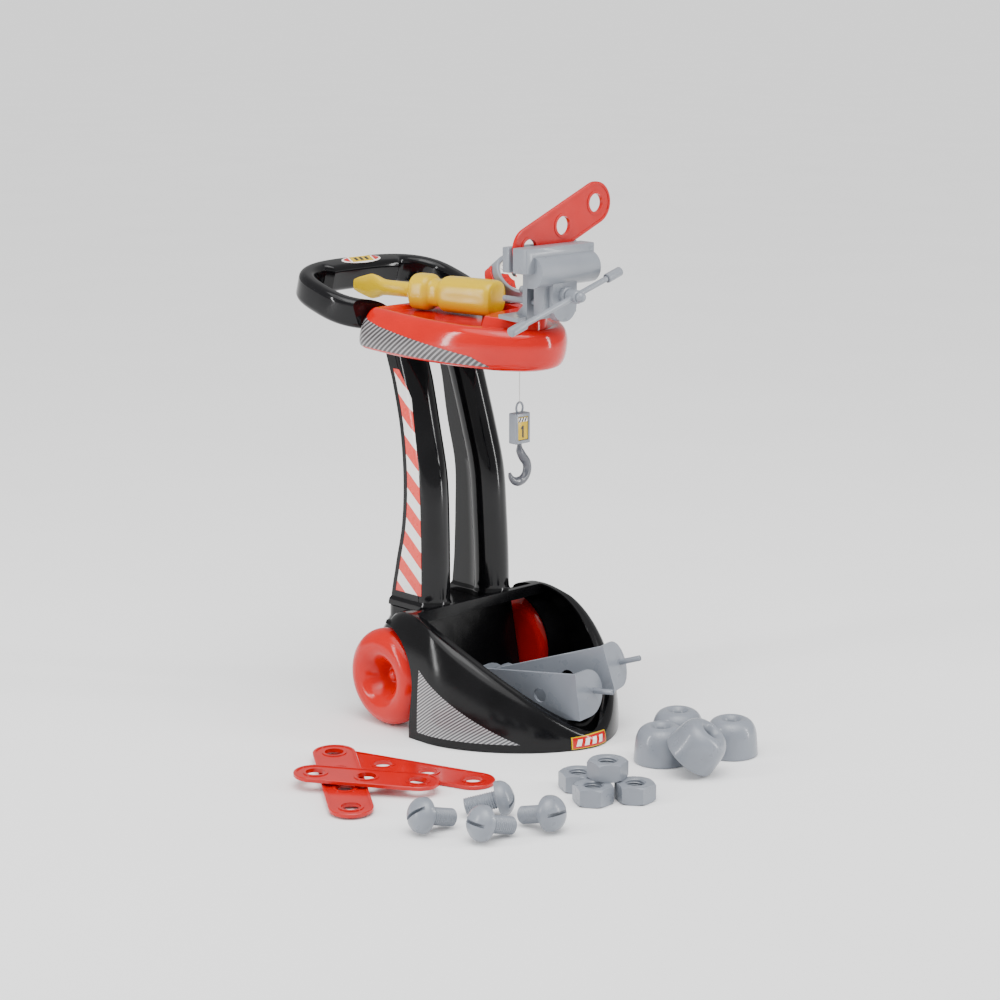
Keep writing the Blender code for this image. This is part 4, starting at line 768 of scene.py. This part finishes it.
def handle():
    places = ring_shape()
    half_h = RING_TALL / 2 - RING_CORNER_R
    half_t = RING_THICK / 2 - RING_CORNER_R
    rings = []
    for i, here in enumerate(places):
        along = (places[(i + 1) % len(places)] - places[i - 1]).normalized()
        out = along.cross(RING_UP).normalized()
        wide = 0.0
        if here.y > RING_Y:
            reach = min(max((GRIP_HALF_W + 0.010 - abs(here.x)) / 0.007, 0.0), 1.0)
            wide = GRIP_EXTRA * reach * reach * (3 - 2 * reach)
        section = []
        for cx, cy, start in ((half_t, half_h, 90), (half_t, -half_h, 0),
                              (-half_t - wide, -half_h, -90), (-half_t - wide, half_h, -180)):
            section += arc(cx, cy, RING_CORNER_R, start, start - 90, 9)
        rings.append([here + out * a + RING_UP * b for a, b in section])
    ring = new_object("handle_ring_shell", loft(rings, caps=False))
    cut(ring, tray_blank("socket", 0.0006))
    cut(ring, block("front", (-0.12, 0.0, 0.34), (0.12, 0.0560, 0.50)))
    stand_for(ring, "handle_ring", BLACK_GLOSS)
    badge()


def badge_frame():
    y = RING_Y + RING_LEN - 0.006
    z = RING_Z + RING_SLOPE * (y - RING_HEIGHT_Y)
    back = Vector((0, 1, RING_SLOPE)).normalized()
    place = Matrix((Vector((1, 0, 0)), back, RING_UP)).transposed().to_4x4()
    place.translation = Vector((0, y, z)) + RING_UP * (RING_TALL / 2 + 0.0003)
    return place


def badge():
    """Oval plate on the grip: yellow field with three bars, and a red wing at each end."""
    place = badge_frame()
    plate = [[(a * c, b * s, z) for c, s in circle(96)] for a, b, z in (
        (0.0260, 0.0085, 0.0), (0.0260, 0.0085, 0.0005), (0.0256, 0.0081, 0.0008))]
    stand_for(new_object("handle_badge_shell", loft(plate), place), "handle_badge", BADGE_WHITE)
    wing = [(0.0150, -0.0052), (0.0215, -0.0030), (0.0240, 0.0), (0.0215, 0.0034),
            (0.0182, 0.0052)]
    field = [(0.0125, -0.0062), (0.0160, 0.0062), (-0.0125, 0.0062), (-0.0160, -0.0062)]
    first = (0.00079, 0.00080 + SKIN)
    second = (0.00098, 0.00100 + SKIN)
    prints = [("badge_field", YELLOW, first, field), ("badge_wing_right", RED_STRIP, first, wing),
              ("badge_wing_left", RED_STRIP, first, [(-x, -y) for x, y in wing])]
    for k, x in enumerate((-0.0072, 0.0, 0.0072)):
        bar = [(x - 0.0026, -0.0036), (x + 0.0010, -0.0036), (x + 0.0026, 0.0036),
               (x - 0.0010, 0.0036)]
        prints.append(("badge_bar_%d" % k, BLACK_PLAIN, second, bar))
    for name, material, layer, outline in prints:
        ink = loft([[(x, y, z) for x, y in outline] for z in layer])
        dress(new_object(name, ink, place), "handle_badge", material)


# ---------------------------------------------------------------- vice
VICE_BAR_Y, SCREW_Z, BAR_TILT = -0.1700, 0.4460, radians(16.8)
BAR_SHIFT, BAR_LEN, BAR_CAP_LEN = -0.012, 0.157, 0.020


def vice():
    refined("vice_fixed_jaw", SILVER, 0.0005, 30.0)
    refined("vice_sliding_jaw", SILVER, 0.0005, 30.0)
    screw_piece()
    along = Vector((cos(BAR_TILT), 0, sin(BAR_TILT)))
    centre = Vector((0, VICE_BAR_Y, SCREW_Z)) + along * BAR_SHIFT
    reach = BAR_LEN / 2 - BAR_CAP_LEN
    bar_end = along * (reach + 0.006)
    bar = rod("vice_bar_shell", centre - bar_end, centre + bar_end, 0.0028)
    stand_for(bar, "vice_bar", SILVER, 0.0004)
    cap = [(0.0, 0.0066), (0.0031, 0.0066), (0.0031, 0.0), (0.0042, 0.0), (0.0048, 0.0007)]
    cap += arc(0.0034, BAR_CAP_LEN - 0.0014, 0.0014, 0, 90, 5) + [(0.0, BAR_CAP_LEN)]
    for sign, node in ((-1, "bar_cap_lower"), (1, "bar_cap_upper")):
        place = move(centre + along * sign * reach) @ aimed(along) @ spin(90 - 90 * sign, "X")
        stand_for(turned(node + "_shell", cap, 48, place), node, SILVER)


def screw_piece():
    """Screw with a square-cut thread of 5 mm pitch, a head and a ball end."""
    place = move((0, 0, SCREW_Z)) @ spin(90, "X")
    start, end = 0.0965, 0.1630
    thread = threaded(lambda wave, z: 0.0033 + 0.0006 * min(max(1.6 * wave - 0.3, 0.0), 1.0),
                      start, end - start, 0.0050, 24)
    stand_for(new_object("vice_screw_shell", thread, place), "vice_screw", SILVER)
    head = [(0.0, 0.1625), (0.0058, 0.1625), (0.0066, 0.1633), (0.0066, 0.1752),
            (0.0058, 0.1760), (0.0038, 0.1764)]
    head += arc(0.0, 0.1782, 0.0052, -18, 81, 11) + [(0.0, 0.1834)]
    dress(turned("vice_screw_head", head, 64, place), "vice_screw", SILVER)


# ---------------------------------------------------------------- strips
STRIP_PITCH, STRIP_W, STRIP_HOLE_R, STRIP_T = 0.0495, 0.042, 0.0092, 0.004


def strip_rim(holes, inset, z):
    """Outline of a strip with round ends, pulled inwards by an inset."""
    half = (holes - 1) * STRIP_PITCH / 2
    points = arc(half, 0, STRIP_W / 2 - inset, -90, 90, 40)
    points += arc(-half, 0, STRIP_W / 2 - inset, 90, 270, 40)
    return [(x, y, z) for x, y in points]


def strip_piece(node, holes, matrix, depth=0.0008):
    """Strip with a raised lip along its edge and round each hole, on both faces."""
    half_t = STRIP_T / 2
    edge = 0.0006
    body = new_object(node + "_shell", loft([strip_rim(holes, inset, z) for inset, z in (
        (edge, -half_t), (0.0, -half_t + edge), (0.0, half_t - edge), (edge, half_t))]))
    centres = [(i - (holes - 1) / 2) * STRIP_PITCH for i in range(holes)]
    for x in centres:
        cut(body, rod("hole", (x, 0, -0.01), (x, 0, 0.01), STRIP_HOLE_R, 56))
    for side in (-1, 1):
        faces = sorted((side * (half_t - depth), side * (half_t + 0.002)))
        pocket = new_object("pocket", loft([strip_rim(holes, 0.0030, z) for z in faces]))
        for x in centres:
            cut(pocket, rod("ring", (x, 0, -0.01), (x, 0, 0.01), STRIP_HOLE_R + 0.0028, 56))
        cut(body, pocket)
    body.data.transform(matrix)
    stand_for(body, node, RED_STRIP, 0.0003, 30.0)


def lying(x, y, rise, heading, pitch):
    """Place of a strip on the floor, or on the strips under it."""
    return move((x, y, rise + STRIP_T / 2)) @ spin(heading, "Z") @ spin(-pitch, "Y")


def strips():
    upright = move((0.023, -0.1298, 0.5098)) @ spin(-22.7, "Y") @ spin(90, "X")
    strip_piece("clamped_strip", 3, upright, 0.0006)
    strip_piece("strip_low", 4, lying(-0.1875, -0.1290, 0.0, -71.5, 0.0))
    strip_piece("strip_middle", 4, lying(-0.2590, -0.1200, 0.0040, 55.7, 1.4))
    strip_piece("strip_top", 3, lying(-0.2480, -0.1420, 0.0090, -54.5, -1.2))


# ---------------------------------------------------------------- screwdriver
def screwdriver():
    """Moulded screwdriver, blade first: place, half width, half height."""
    stations = ((0.000, 0.0022, 0.0055), (0.005, 0.0026, 0.0080), (0.021, 0.0030, 0.0130),
                (0.0285, 0.0048, 0.0115), (0.037, 0.0074, 0.0078), (0.072, 0.0078, 0.0078),
                (0.0745, 0.0150, 0.0150), (0.0775, 0.0184, 0.0184), (0.0930, 0.0184, 0.0184),
                (0.0960, 0.0165, 0.0165), (0.0985, 0.0140, 0.0140), (0.1070, 0.0138, 0.0138),
                (0.1110, 0.0165, 0.0165), (0.1140, 0.0182, 0.0182), (0.1660, 0.0184, 0.0184),
                (0.1705, 0.0172, 0.0172), (0.1723, 0.0140, 0.0140))
    grip_start, grip_end = 0.1150, 0.1650
    rings = []
    for s, wide, tall in softened(stations):
        ends = min((s - grip_start) / 0.006, (grip_end - s) / 0.006, 1.0)
        ring = []
        for k in range(72):
            a = 2 * pi * k / 72
            flute = 0.0005 * max(ends, 0.0) * max(cos(6 * a), 0.0) ** 2
            ring.append((s, (wide - flute) * signed_power(cos(a), 0.8),
                         (tall - flute) * signed_power(sin(a), 0.8)))
        rings.append(ring)
    place = move((-0.0408, 0.1076, 0.4355)) @ spin(-74.5, "Z") @ spin(1.0, "Y")
    stand_for(new_object("screwdriver_shell", loft(rings), place), "screwdriver", YELLOW,
              0.0003, 40.0)


def softened(stations):
    """Straight spans between stations, with each corner drawn a little round."""
    out = [stations[0]]
    for a, b in zip(stations[:-1], stations[1:]):
        out += [tuple(p + (q - p) * k / 6 for p, q in zip(a, b)) for k in range(1, 7)]
    for _ in range(2):
        inner = [tuple((p + 2 * q + r) / 4 for p, q, r in zip(a, b, c))
                 for a, b, c in zip(out[:-2], out[1:-1], out[2:])]
        out = [out[0]] + inner + [out[-1]]
    return out


# ---------------------------------------------------------------- gauge
GAUGE_CENTRE, GAUGE_R, GAUGE_DEPTH = (0.0430, -0.0440, 0.4533), 0.0225, 0.020
GAUGE_FRAME = move(GAUGE_CENTRE) @ spin(55, "X")
DIAL_Z = -0.0024


def sector(name, start, stop, inner, outer, z, material):
    """Thin printed sector of the dial."""
    rows = []
    for k in range(25):
        a = radians(start + (stop - start) * k / 24)
        rows.append([(r * cos(a), r * sin(a), z) for r in (inner, (inner + outer) / 2, outer)])
    dress(new_object(name, grid(rows), GAUGE_FRAME), "gauge_dial", material)


def gauge():
    r, depth = GAUGE_R, GAUGE_DEPTH
    drum = [(0.0, -0.0035), (r - 0.0045, -0.0035), (r - 0.0042, -0.0008)]
    drum += arc(r - 0.0030, -0.0012, 0.0012, 180, 90, 5)
    drum += arc(r - 0.0016, -0.0016, 0.0016, 90, 0, 6) + [(r - 0.0001, -depth * 0.5)]
    drum += arc(r - 0.0020, -depth + 0.0020, 0.0020, 0, -90, 6) + [(0.0, -depth)]
    body = turned("gauge_drum_shell", drum, 96, GAUGE_FRAME)
    x, y, z = GAUGE_CENTRE
    seat = tray_height(y, TRAY_PLATFORM) + 0.0006
    cut(body, block("neck", (x - 0.011, y - 0.004, seat), (x + 0.011, y + 0.008, z - 0.016)),
        "UNION")
    stand_for(body, "gauge_drum", GREY, 0.0004, 40.0)
    face = [(0.0, DIAL_Z), (r - 0.0050, DIAL_Z), (r - 0.0050, -0.0032), (0.0, -0.0032)]
    stand_for(turned("gauge_dial_shell", face, 72, GAUGE_FRAME), "gauge_dial", CREAM)
    level = DIAL_Z + 0.0001
    for name, start, stop, material in (("dial_yellow", 10, 80, YELLOW),
                                        ("dial_white", 80, 170, BADGE_WHITE),
                                        ("dial_red", 170, 250, RED_STRIP)):
        sector(name, start, stop, 0.0070, 0.0165, level, material)
    for k in range(13):
        a = 250 - 20 * k
        sector("dial_tick_%02d" % k, a - 1.3, a + 1.3, 0.0128, 0.0160, level + 0.0001, BLACK_PLAIN)
    needle = loft([[(-0.0034, -0.0008, top), (0.0118, 0.0, top), (-0.0034, 0.0008, top)]
                   for top in (level + 0.0004, level + 0.0007)])
    dress(new_object("dial_needle", needle, GAUGE_FRAME @ spin(128, "Z")), "gauge_dial", RED_STRIP)
    hub = [(0.0, level), (0.0022, level), (0.0022, level + 0.0007), (0.0014, level + 0.0012),
           (0.0, level + 0.0013)]
    dress(turned("dial_hub", hub, 32, GAUGE_FRAME), "gauge_dial", BLACK_PLAIN)
    outline = arc(0, 0, r + 0.0022, 140, 190, 24) + arc(0, 0, r + 0.0003, 190, 140, 24)
    fin = loft([[(px, py, pz) for px, py in outline] for pz in (-0.0190, -0.0080)])
    stand_for(new_object("gauge_cradle_shell", fin, GAUGE_FRAME), "gauge_cradle", RED_TRAY, 0.0004)


# ---------------------------------------------------------------- crane hook
HOOK_Y, HOOK_STRING_TOP, BLOCK_TOP, BLOCK_H, BLOCK_W, BLOCK_T = (
    -0.0945, 0.3706, 0.3225, 0.031, 0.020, 0.011)
BLOCK_LOW = BLOCK_TOP - BLOCK_H


def hook_string(eye):
    """The thin cord from the tray down to the block's eye."""
    low = BLOCK_TOP + 0.0117
    curve = bpy.data.curves.new("hook_string_cord", "CURVE")
    curve.dimensions = "3D"
    curve.bevel_depth = 0.0005
    curve.bevel_resolution = 4
    curve.use_fill_caps = True
    route = curve.splines.new("POLY")
    route.points.add(18)
    for i, point in enumerate(route.points):
        point.co = (0, HOOK_Y, HOOK_STRING_TOP - i * (HOOK_STRING_TOP - low) / 18, 1)
    cord = add_object("hook_string_cord", curve)
    stand_for(cord, "hook_string", STRING)


def hook_block():
    """The block, its label and the eye on its top, which is given back for the cord."""
    front = HOOK_Y - BLOCK_T / 2
    body = block("hook_block_shell", (-BLOCK_W / 2, front, BLOCK_LOW),
                 (BLOCK_W / 2, HOOK_Y + BLOCK_T / 2, BLOCK_TOP), bevel=0.0012)
    cut(body, block("window", (-0.0072, HOOK_Y - BLOCK_T, BLOCK_LOW + 0.0035),
                    (0.0072, front + 0.0016, BLOCK_TOP - 0.0035), bevel=0.0004))
    cut(body, rod("pin", (0, HOOK_Y, BLOCK_LOW - 0.002), (0, HOOK_Y, BLOCK_LOW + 0.009), 0.0029))
    stand_for(body, "hook_block", GREY)
    rings = []
    for c, s in circle(48):
        centre = Vector((0.0045 * c, HOOK_Y, BLOCK_TOP + 0.0045 + 0.0058 * s))
        rings.append([centre + Vector((c * across, along, s * across)) * 0.0011
                      for across, along in circle(16)])
    eye = new_object("hook_block_eye", loft(rings, caps=False))
    dress(eye, "hook_block", GREY)
    face, low, high = front + 0.0008, BLOCK_LOW + 0.0040, BLOCK_TOP - 0.0040
    stand_for(block("block_label_shell", (-0.0068, face, low), (0.0068, front + 0.0013, high),
                    bevel=0.0002), "block_label", YELLOW)
    label_prints(face - 0.0001, low, high)
    return eye


def label_prints(y, low, high):
    """Hatched strip along the top of the block's label and a plain figure one under it."""
    top = high - 0.0006
    foot = top - 0.0042
    prints = [("label_strip", BADGE_WHITE, y,
               [(-0.0060, top), (0.0060, top), (0.0060, foot), (-0.0060, foot)])]
    for k in range(3):
        x = -0.0060 + 0.0038 * k
        prints.append(("label_hatch_%d" % k, BLACK_PLAIN, y - 0.0001,
                       [(x, foot), (x + 0.0020, foot), (x + 0.0042, top), (x + 0.0022, top)]))
    z = low + 0.0022
    prints.append(("label_figure", BLACK_PLAIN, y,
                   [(-0.0010, z), (0.0012, z), (0.0012, z + 0.0120), (-0.0006, z + 0.0120),
                    (-0.0026, z + 0.0100), (-0.0026, z + 0.0082), (-0.0010, z + 0.0094)]))
    for name, material, back, outline in prints:
        ink = loft([[(x, depth, z) for x, z in outline] for depth in (back, back - 0.0001)])
        dress(new_object(name, ink), "block_label", material)


def hook():
    low = BLOCK_LOW
    route = [(0.0, low + 0.0075, 0.0026), (0.0, low - 0.002, 0.0026),
             (0.0006, low - 0.008, 0.0042), (0.0050, low - 0.0150, 0.0048)]
    belly = arc(-0.0015, low - 0.0265, 0.0125, 45, -170, 11)
    sizes = [0.0048] * 8 + [0.0042, 0.0034, 0.0026, 0.0016]
    path = smooth_path(route + [(x, z, r) for (x, z), r in zip(belly, sizes)], 6)
    rings = []
    for i, (x, z, wide) in enumerate(path):
        a, b = path[max(i - 1, 0)], path[min(i + 1, len(path) - 1)]
        out = Vector((b[0] - a[0], 0, b[1] - a[1])).normalized().cross(Vector((0, 1, 0)))
        rings.append([Vector((x, HOOK_Y + wide * 0.8 * s, z)) + out * wide * c
                      for c, s in circle(28)])
    stand_for(new_object("hook_shell", loft(rings)), "hook", DARK_GREY, 0.0004, 50.0)


# ---------------------------------------------------------------- loose nuts, bolts, wheels
NUT_WIDTH, NUT_THICK, BOLT_HEAD_R = 0.034, 0.017, 0.0165


def nuts():
    half = NUT_THICK / 2
    for node, x, y, z, heading in (("nut_front", -0.1210, -0.3160, half, 5),
                                   ("nut_right", -0.0880, -0.3385, half, 5),
                                   ("nut_back", -0.1030, -0.2800, half, 5),
                                   ("nut_top", -0.0965, -0.3110, NUT_THICK + 0.0003 + half, 20)):
        nut(node, move((x, y, z)) @ spin(heading, "Z"))


def nut(node, place):
    """Hexagon with its corners chamfered round at both faces and a countersunk bore."""
    corner, half, bore = NUT_WIDTH / sqrt(3), NUT_THICK / 2, 0.0092
    body = new_object(node + "_shell", loft([[(corner * c, corner * s, z) for c, s in circle(6)]
                                             for z in (-half, half)]))
    cone = [(0.0, half), (corner - 0.0024, half), (corner + 0.0005, half - 0.0022),
            (corner + 0.0005, -half + 0.0022), (corner - 0.0024, -half), (0.0, -half)]
    cut(body, turned("chamfer", cone, 96), "INTERSECT")
    hole = [(0.0, half + 0.002), (bore + 0.0030, half + 0.002), (bore, half - 0.0010),
            (bore, -half + 0.0010), (bore + 0.0030, -half - 0.002), (0.0, -half - 0.002)]
    cut(body, turned("bore", hole, 72))
    thread_rings(node, bore, place)
    body.data.transform(place)
    stand_for(body, node, GREY, 0.0005, 28.0)


def thread_rings(node, bore, place):
    """Shallow thread ridges inside a bore, standing a little out of its wall."""
    turns, per_turn, pitch = 6, 48, 0.0024
    rows = []
    for k in range(turns * per_turn + 1):
        a = 2 * pi * k / per_turn
        z = -turns * pitch / 2 + pitch * k / per_turn
        rows.append([(r * cos(a), r * sin(a), z + dz) for r, dz in
                     ((bore + 0.0003, -0.0009), (bore - 0.0007, 0.0), (bore + 0.0003, 0.0009))])
    dress(new_object(node + "_thread", grid(rows), place), node, GREY)


def bolt(node, disc, tip, slot_turn):
    """Slotted dome bolt with a fine thread on its shank."""
    shank_r, length = 0.0083, 0.031
    disc, tip = Vector(disc), Vector(tip)
    place = move(disc) @ aimed((tip - disc).normalized())
    profile = [(BOLT_HEAD_R * sin(radians(a)), -0.0030 - 0.0125 * cos(radians(a)))
               for a in range(0, 91, 5)]
    profile += [(BOLT_HEAD_R, -0.0006), (BOLT_HEAD_R - 0.0006, 0.0), (0.0, 0.0)]
    head = turned(node + "_shell", profile, 96)
    cut(head, block("slot", (-0.02, -0.0016, -0.0200), (0.02, 0.0016, -0.0095),
                    spin(slot_turn, "Z")))
    head.data.transform(place)
    stand_for(head, node, GREY, 0.0004, 34.0)

    def radius_at(wave, z):
        fade = min(max(z / 0.002, 0.0), 1.0) * min((length - z) / 0.0012, 1.0)
        return shank_r - 0.0007 * (1 - wave) * fade - 0.0008 * max(1 - (length - z) / 0.001, 0.0)

    thread = threaded(radius_at, -0.0002, length - 0.0002, 0.0022, 40)
    dress(new_object(node + "_thread", thread, place), node, GREY)


def bolts():
    head, lean = BOLT_HEAD_R + 0.0003, 0.0083
    bolt("bolt_left", (-0.2890, -0.2690, head), (-0.2580, -0.2735, lean), 40)
    bolt("bolt_back", (-0.2120, -0.2830, head), (-0.2340, -0.2600, lean), 20)
    bolt("bolt_front", (-0.2650, -0.3210, head), (-0.2340, -0.3260, lean), 80)
    bolt("bolt_right", (-0.2060, -0.3420, head), (-0.2100, -0.3110, lean), 10)


def small_wheels():
    r, h, bore_r = 0.0265, 0.036, 0.0045
    corners = [(0.0060, h - 0.0140), (0.0066, h - 0.0060), (0.0092, h - 0.0016), (0.0118, h),
               (0.0150, h - 0.0003), (0.0196, h - 0.0030), (0.0232, h - 0.0085),
               (0.0252, h - 0.0170), (r, 0.0015)]
    profile = smooth_path(corners, 6) + [(r - 0.0002, 0.0004), (r - 0.0008, 0.0), (bore_r, 0.0),
                                         (bore_r, h - 0.0140)]
    lean = Matrix.Rotation(radians(38), 4, Vector((0.899, 0.438, 0)))
    for node, place in (("small_wheel_left", move((0.0132, -0.2785, 0.0))),
                        ("small_wheel_back", move((0.0630, -0.2560, 0.0))),
                        ("small_wheel_right", move((0.0800, -0.3110, 0.0))),
                        ("small_wheel_leaning", move((0.0050, -0.3222, 0.0166)) @ lean)):
        stand_for(turned(node + "_shell", profile, 96, place), node, GREY, 0.0, 50.0)


def beams():
    refined("beam_front", GREY, 0.0004, 34.0)
    refined("beam_rear", GREY, 0.0004, 34.0)


# ---------------------------------------------------------------- label on the nose
def nose_skin(x, z):
    """Distance along -Y of the base's outer skin at a place near the nose."""
    plan = []
    for i in range(81):
        foot, rim = nose_pair(0.55 + 0.45 * i / 80)
        rise = min(z / rim_height(rim[1]), 1.0) ** (WALL_ROLL / 2)
        inward = 1 - cos(asin(rise)) ** (2 / WALL_ROLL)
        plan.append((foot[0] + (rim[0] - foot[0]) * inward, foot[1] + (rim[1] - foot[1]) * inward))
    for (ax, ay), (bx, by) in zip(plan[:-1], plan[1:]):
        if bx <= abs(x) <= ax:
            return ay + (by - ay) * (ax - abs(x)) / (ax - bx)
    return plan[-1][1]


def nose_sheet(name, low_x, high_x, low_z, high_z, lift, slant=0.0):
    """Thin plate that follows the nose between two heights."""
    rings = []
    for k in range(9):
        z = low_z + (high_z - low_z) * k / 8
        across = [low_x + slant * (z - low_z) + (high_x - low_x) * i / 32 for i in range(33)]
        skin = [(x, nose_skin(x, z) - lift) for x in across]
        rings.append([(x, y, z) for x, y in skin] + [(x, y + 0.0008, z) for x, y in skin[::-1]])
    return new_object(name, loft(rings))


def label_plate():
    """Sticker on the nose: yellow edge, red field and four slanted white bars."""
    edge = nose_sheet("label_plate_shell", -0.0285, 0.0145, 0.0015, 0.0135, 0.0013)
    stand_for(edge, "label_plate", YELLOW)
    field = nose_sheet("label_field", -0.0277, 0.0137, 0.0022, 0.0128, 0.0014)
    dress(field, "label_plate", RED_STRIP)
    for k in range(4):
        x = -0.0245 + 0.0088 * k
        bar = nose_sheet("label_bar_%d" % k, x, x + 0.0050, 0.0042, 0.0108, 0.0015, 0.35)
        dress(bar, "label_plate", BADGE_WHITE)


def point_at(obj, place, direction):
    """Put a camera or lamp at a place, looking in a direction."""
    obj.location = place
    obj.rotation_mode = "QUATERNION"
    obj.rotation_quaternion = direction.to_track_quat("-Z", "Y")


# ---------------------------------------------------------------- camera, light and floor
def camera():
    """Long lens from the front left, a little above the tray."""
    turn, tip = radians(44.02), 0.2184
    back, aside, height = 2.4654, 0.0462, 0.7652
    data = bpy.data.cameras.new("view")
    data.sensor_width = 36.0
    data.lens = 88.0
    data.clip_end = 400.0
    view = add_object("view", data)
    point_at(view, (-back * sin(turn) + aside * cos(turn),
                    -back * cos(turn) - aside * sin(turn), height),
             Vector((sin(turn) * cos(tip), cos(turn) * cos(tip), -sin(tip))))
    bpy.context.scene.camera = view


def area_light(name, place, aim, size, power):
    data = bpy.data.lights.new(name, "AREA")
    data.shape = "RECTANGLE"
    data.size, data.size_y = size
    data.energy = power
    point_at(add_object(name, data), place, Vector(aim) - Vector(place))


def studio():
    """Pale floor, a broad overhead light, a strip from each side and a bright surround."""
    area_light("overhead", (-0.5, -0.7, 2.4), (0.0, -0.05, 0.2), (1.4, 1.4), 26.0)
    area_light("left_strip", (-1.9, 0.5, 0.9), (0.0, 0.0, 0.25), (0.14, 1.7), 22.0)
    area_light("right_strip", (1.2, -1.9, 0.8), (0.0, 0.0, 0.25), (0.16, 1.7), 24.0)
    data = bpy.data.lights.new("sky_glow", "SUN")
    data.energy = 2.7
    data.angle = radians(70)
    add_object("sky_glow", data).rotation_euler = (radians(14), radians(-12), 0.0)
    world = bpy.data.worlds.new("surround")
    world.use_nodes = True
    back = world.node_tree.nodes["Background"]
    back.inputs["Color"].default_value = (1.0, 1.0, 1.0, 1.0)
    back.inputs["Strength"].default_value = 0.58
    bpy.context.scene.world = world
    bm = bmesh.new()
    bmesh.ops.create_grid(bm, x_segments=8, y_segments=8, size=150.0)
    floor = new_object("floor", bm, move((0.0, 0.0, -0.0004)))
    n = Nodes("pale_floor")
    soft = n.mix(n.remap(n.noise(3.0), 0.0, 1.0), (0.93, 0.93, 0.93), (0.95, 0.95, 0.95))
    n.bump(n.noise(90.0), 0.05, 0.0002)
    n.shader.inputs["Specular IOR Level"].default_value = 0.0
    floor.data.materials.append(n.surface(soft, 0.95))


camera()
hook_string(hook_block())
base_bin()
base_panels()
label_plate()
wheels()
columns()
tray()
handle()
vice()
strips()
screwdriver()
gauge()
hook()
beams()
nuts()
bolts()
small_wheels()
studio()
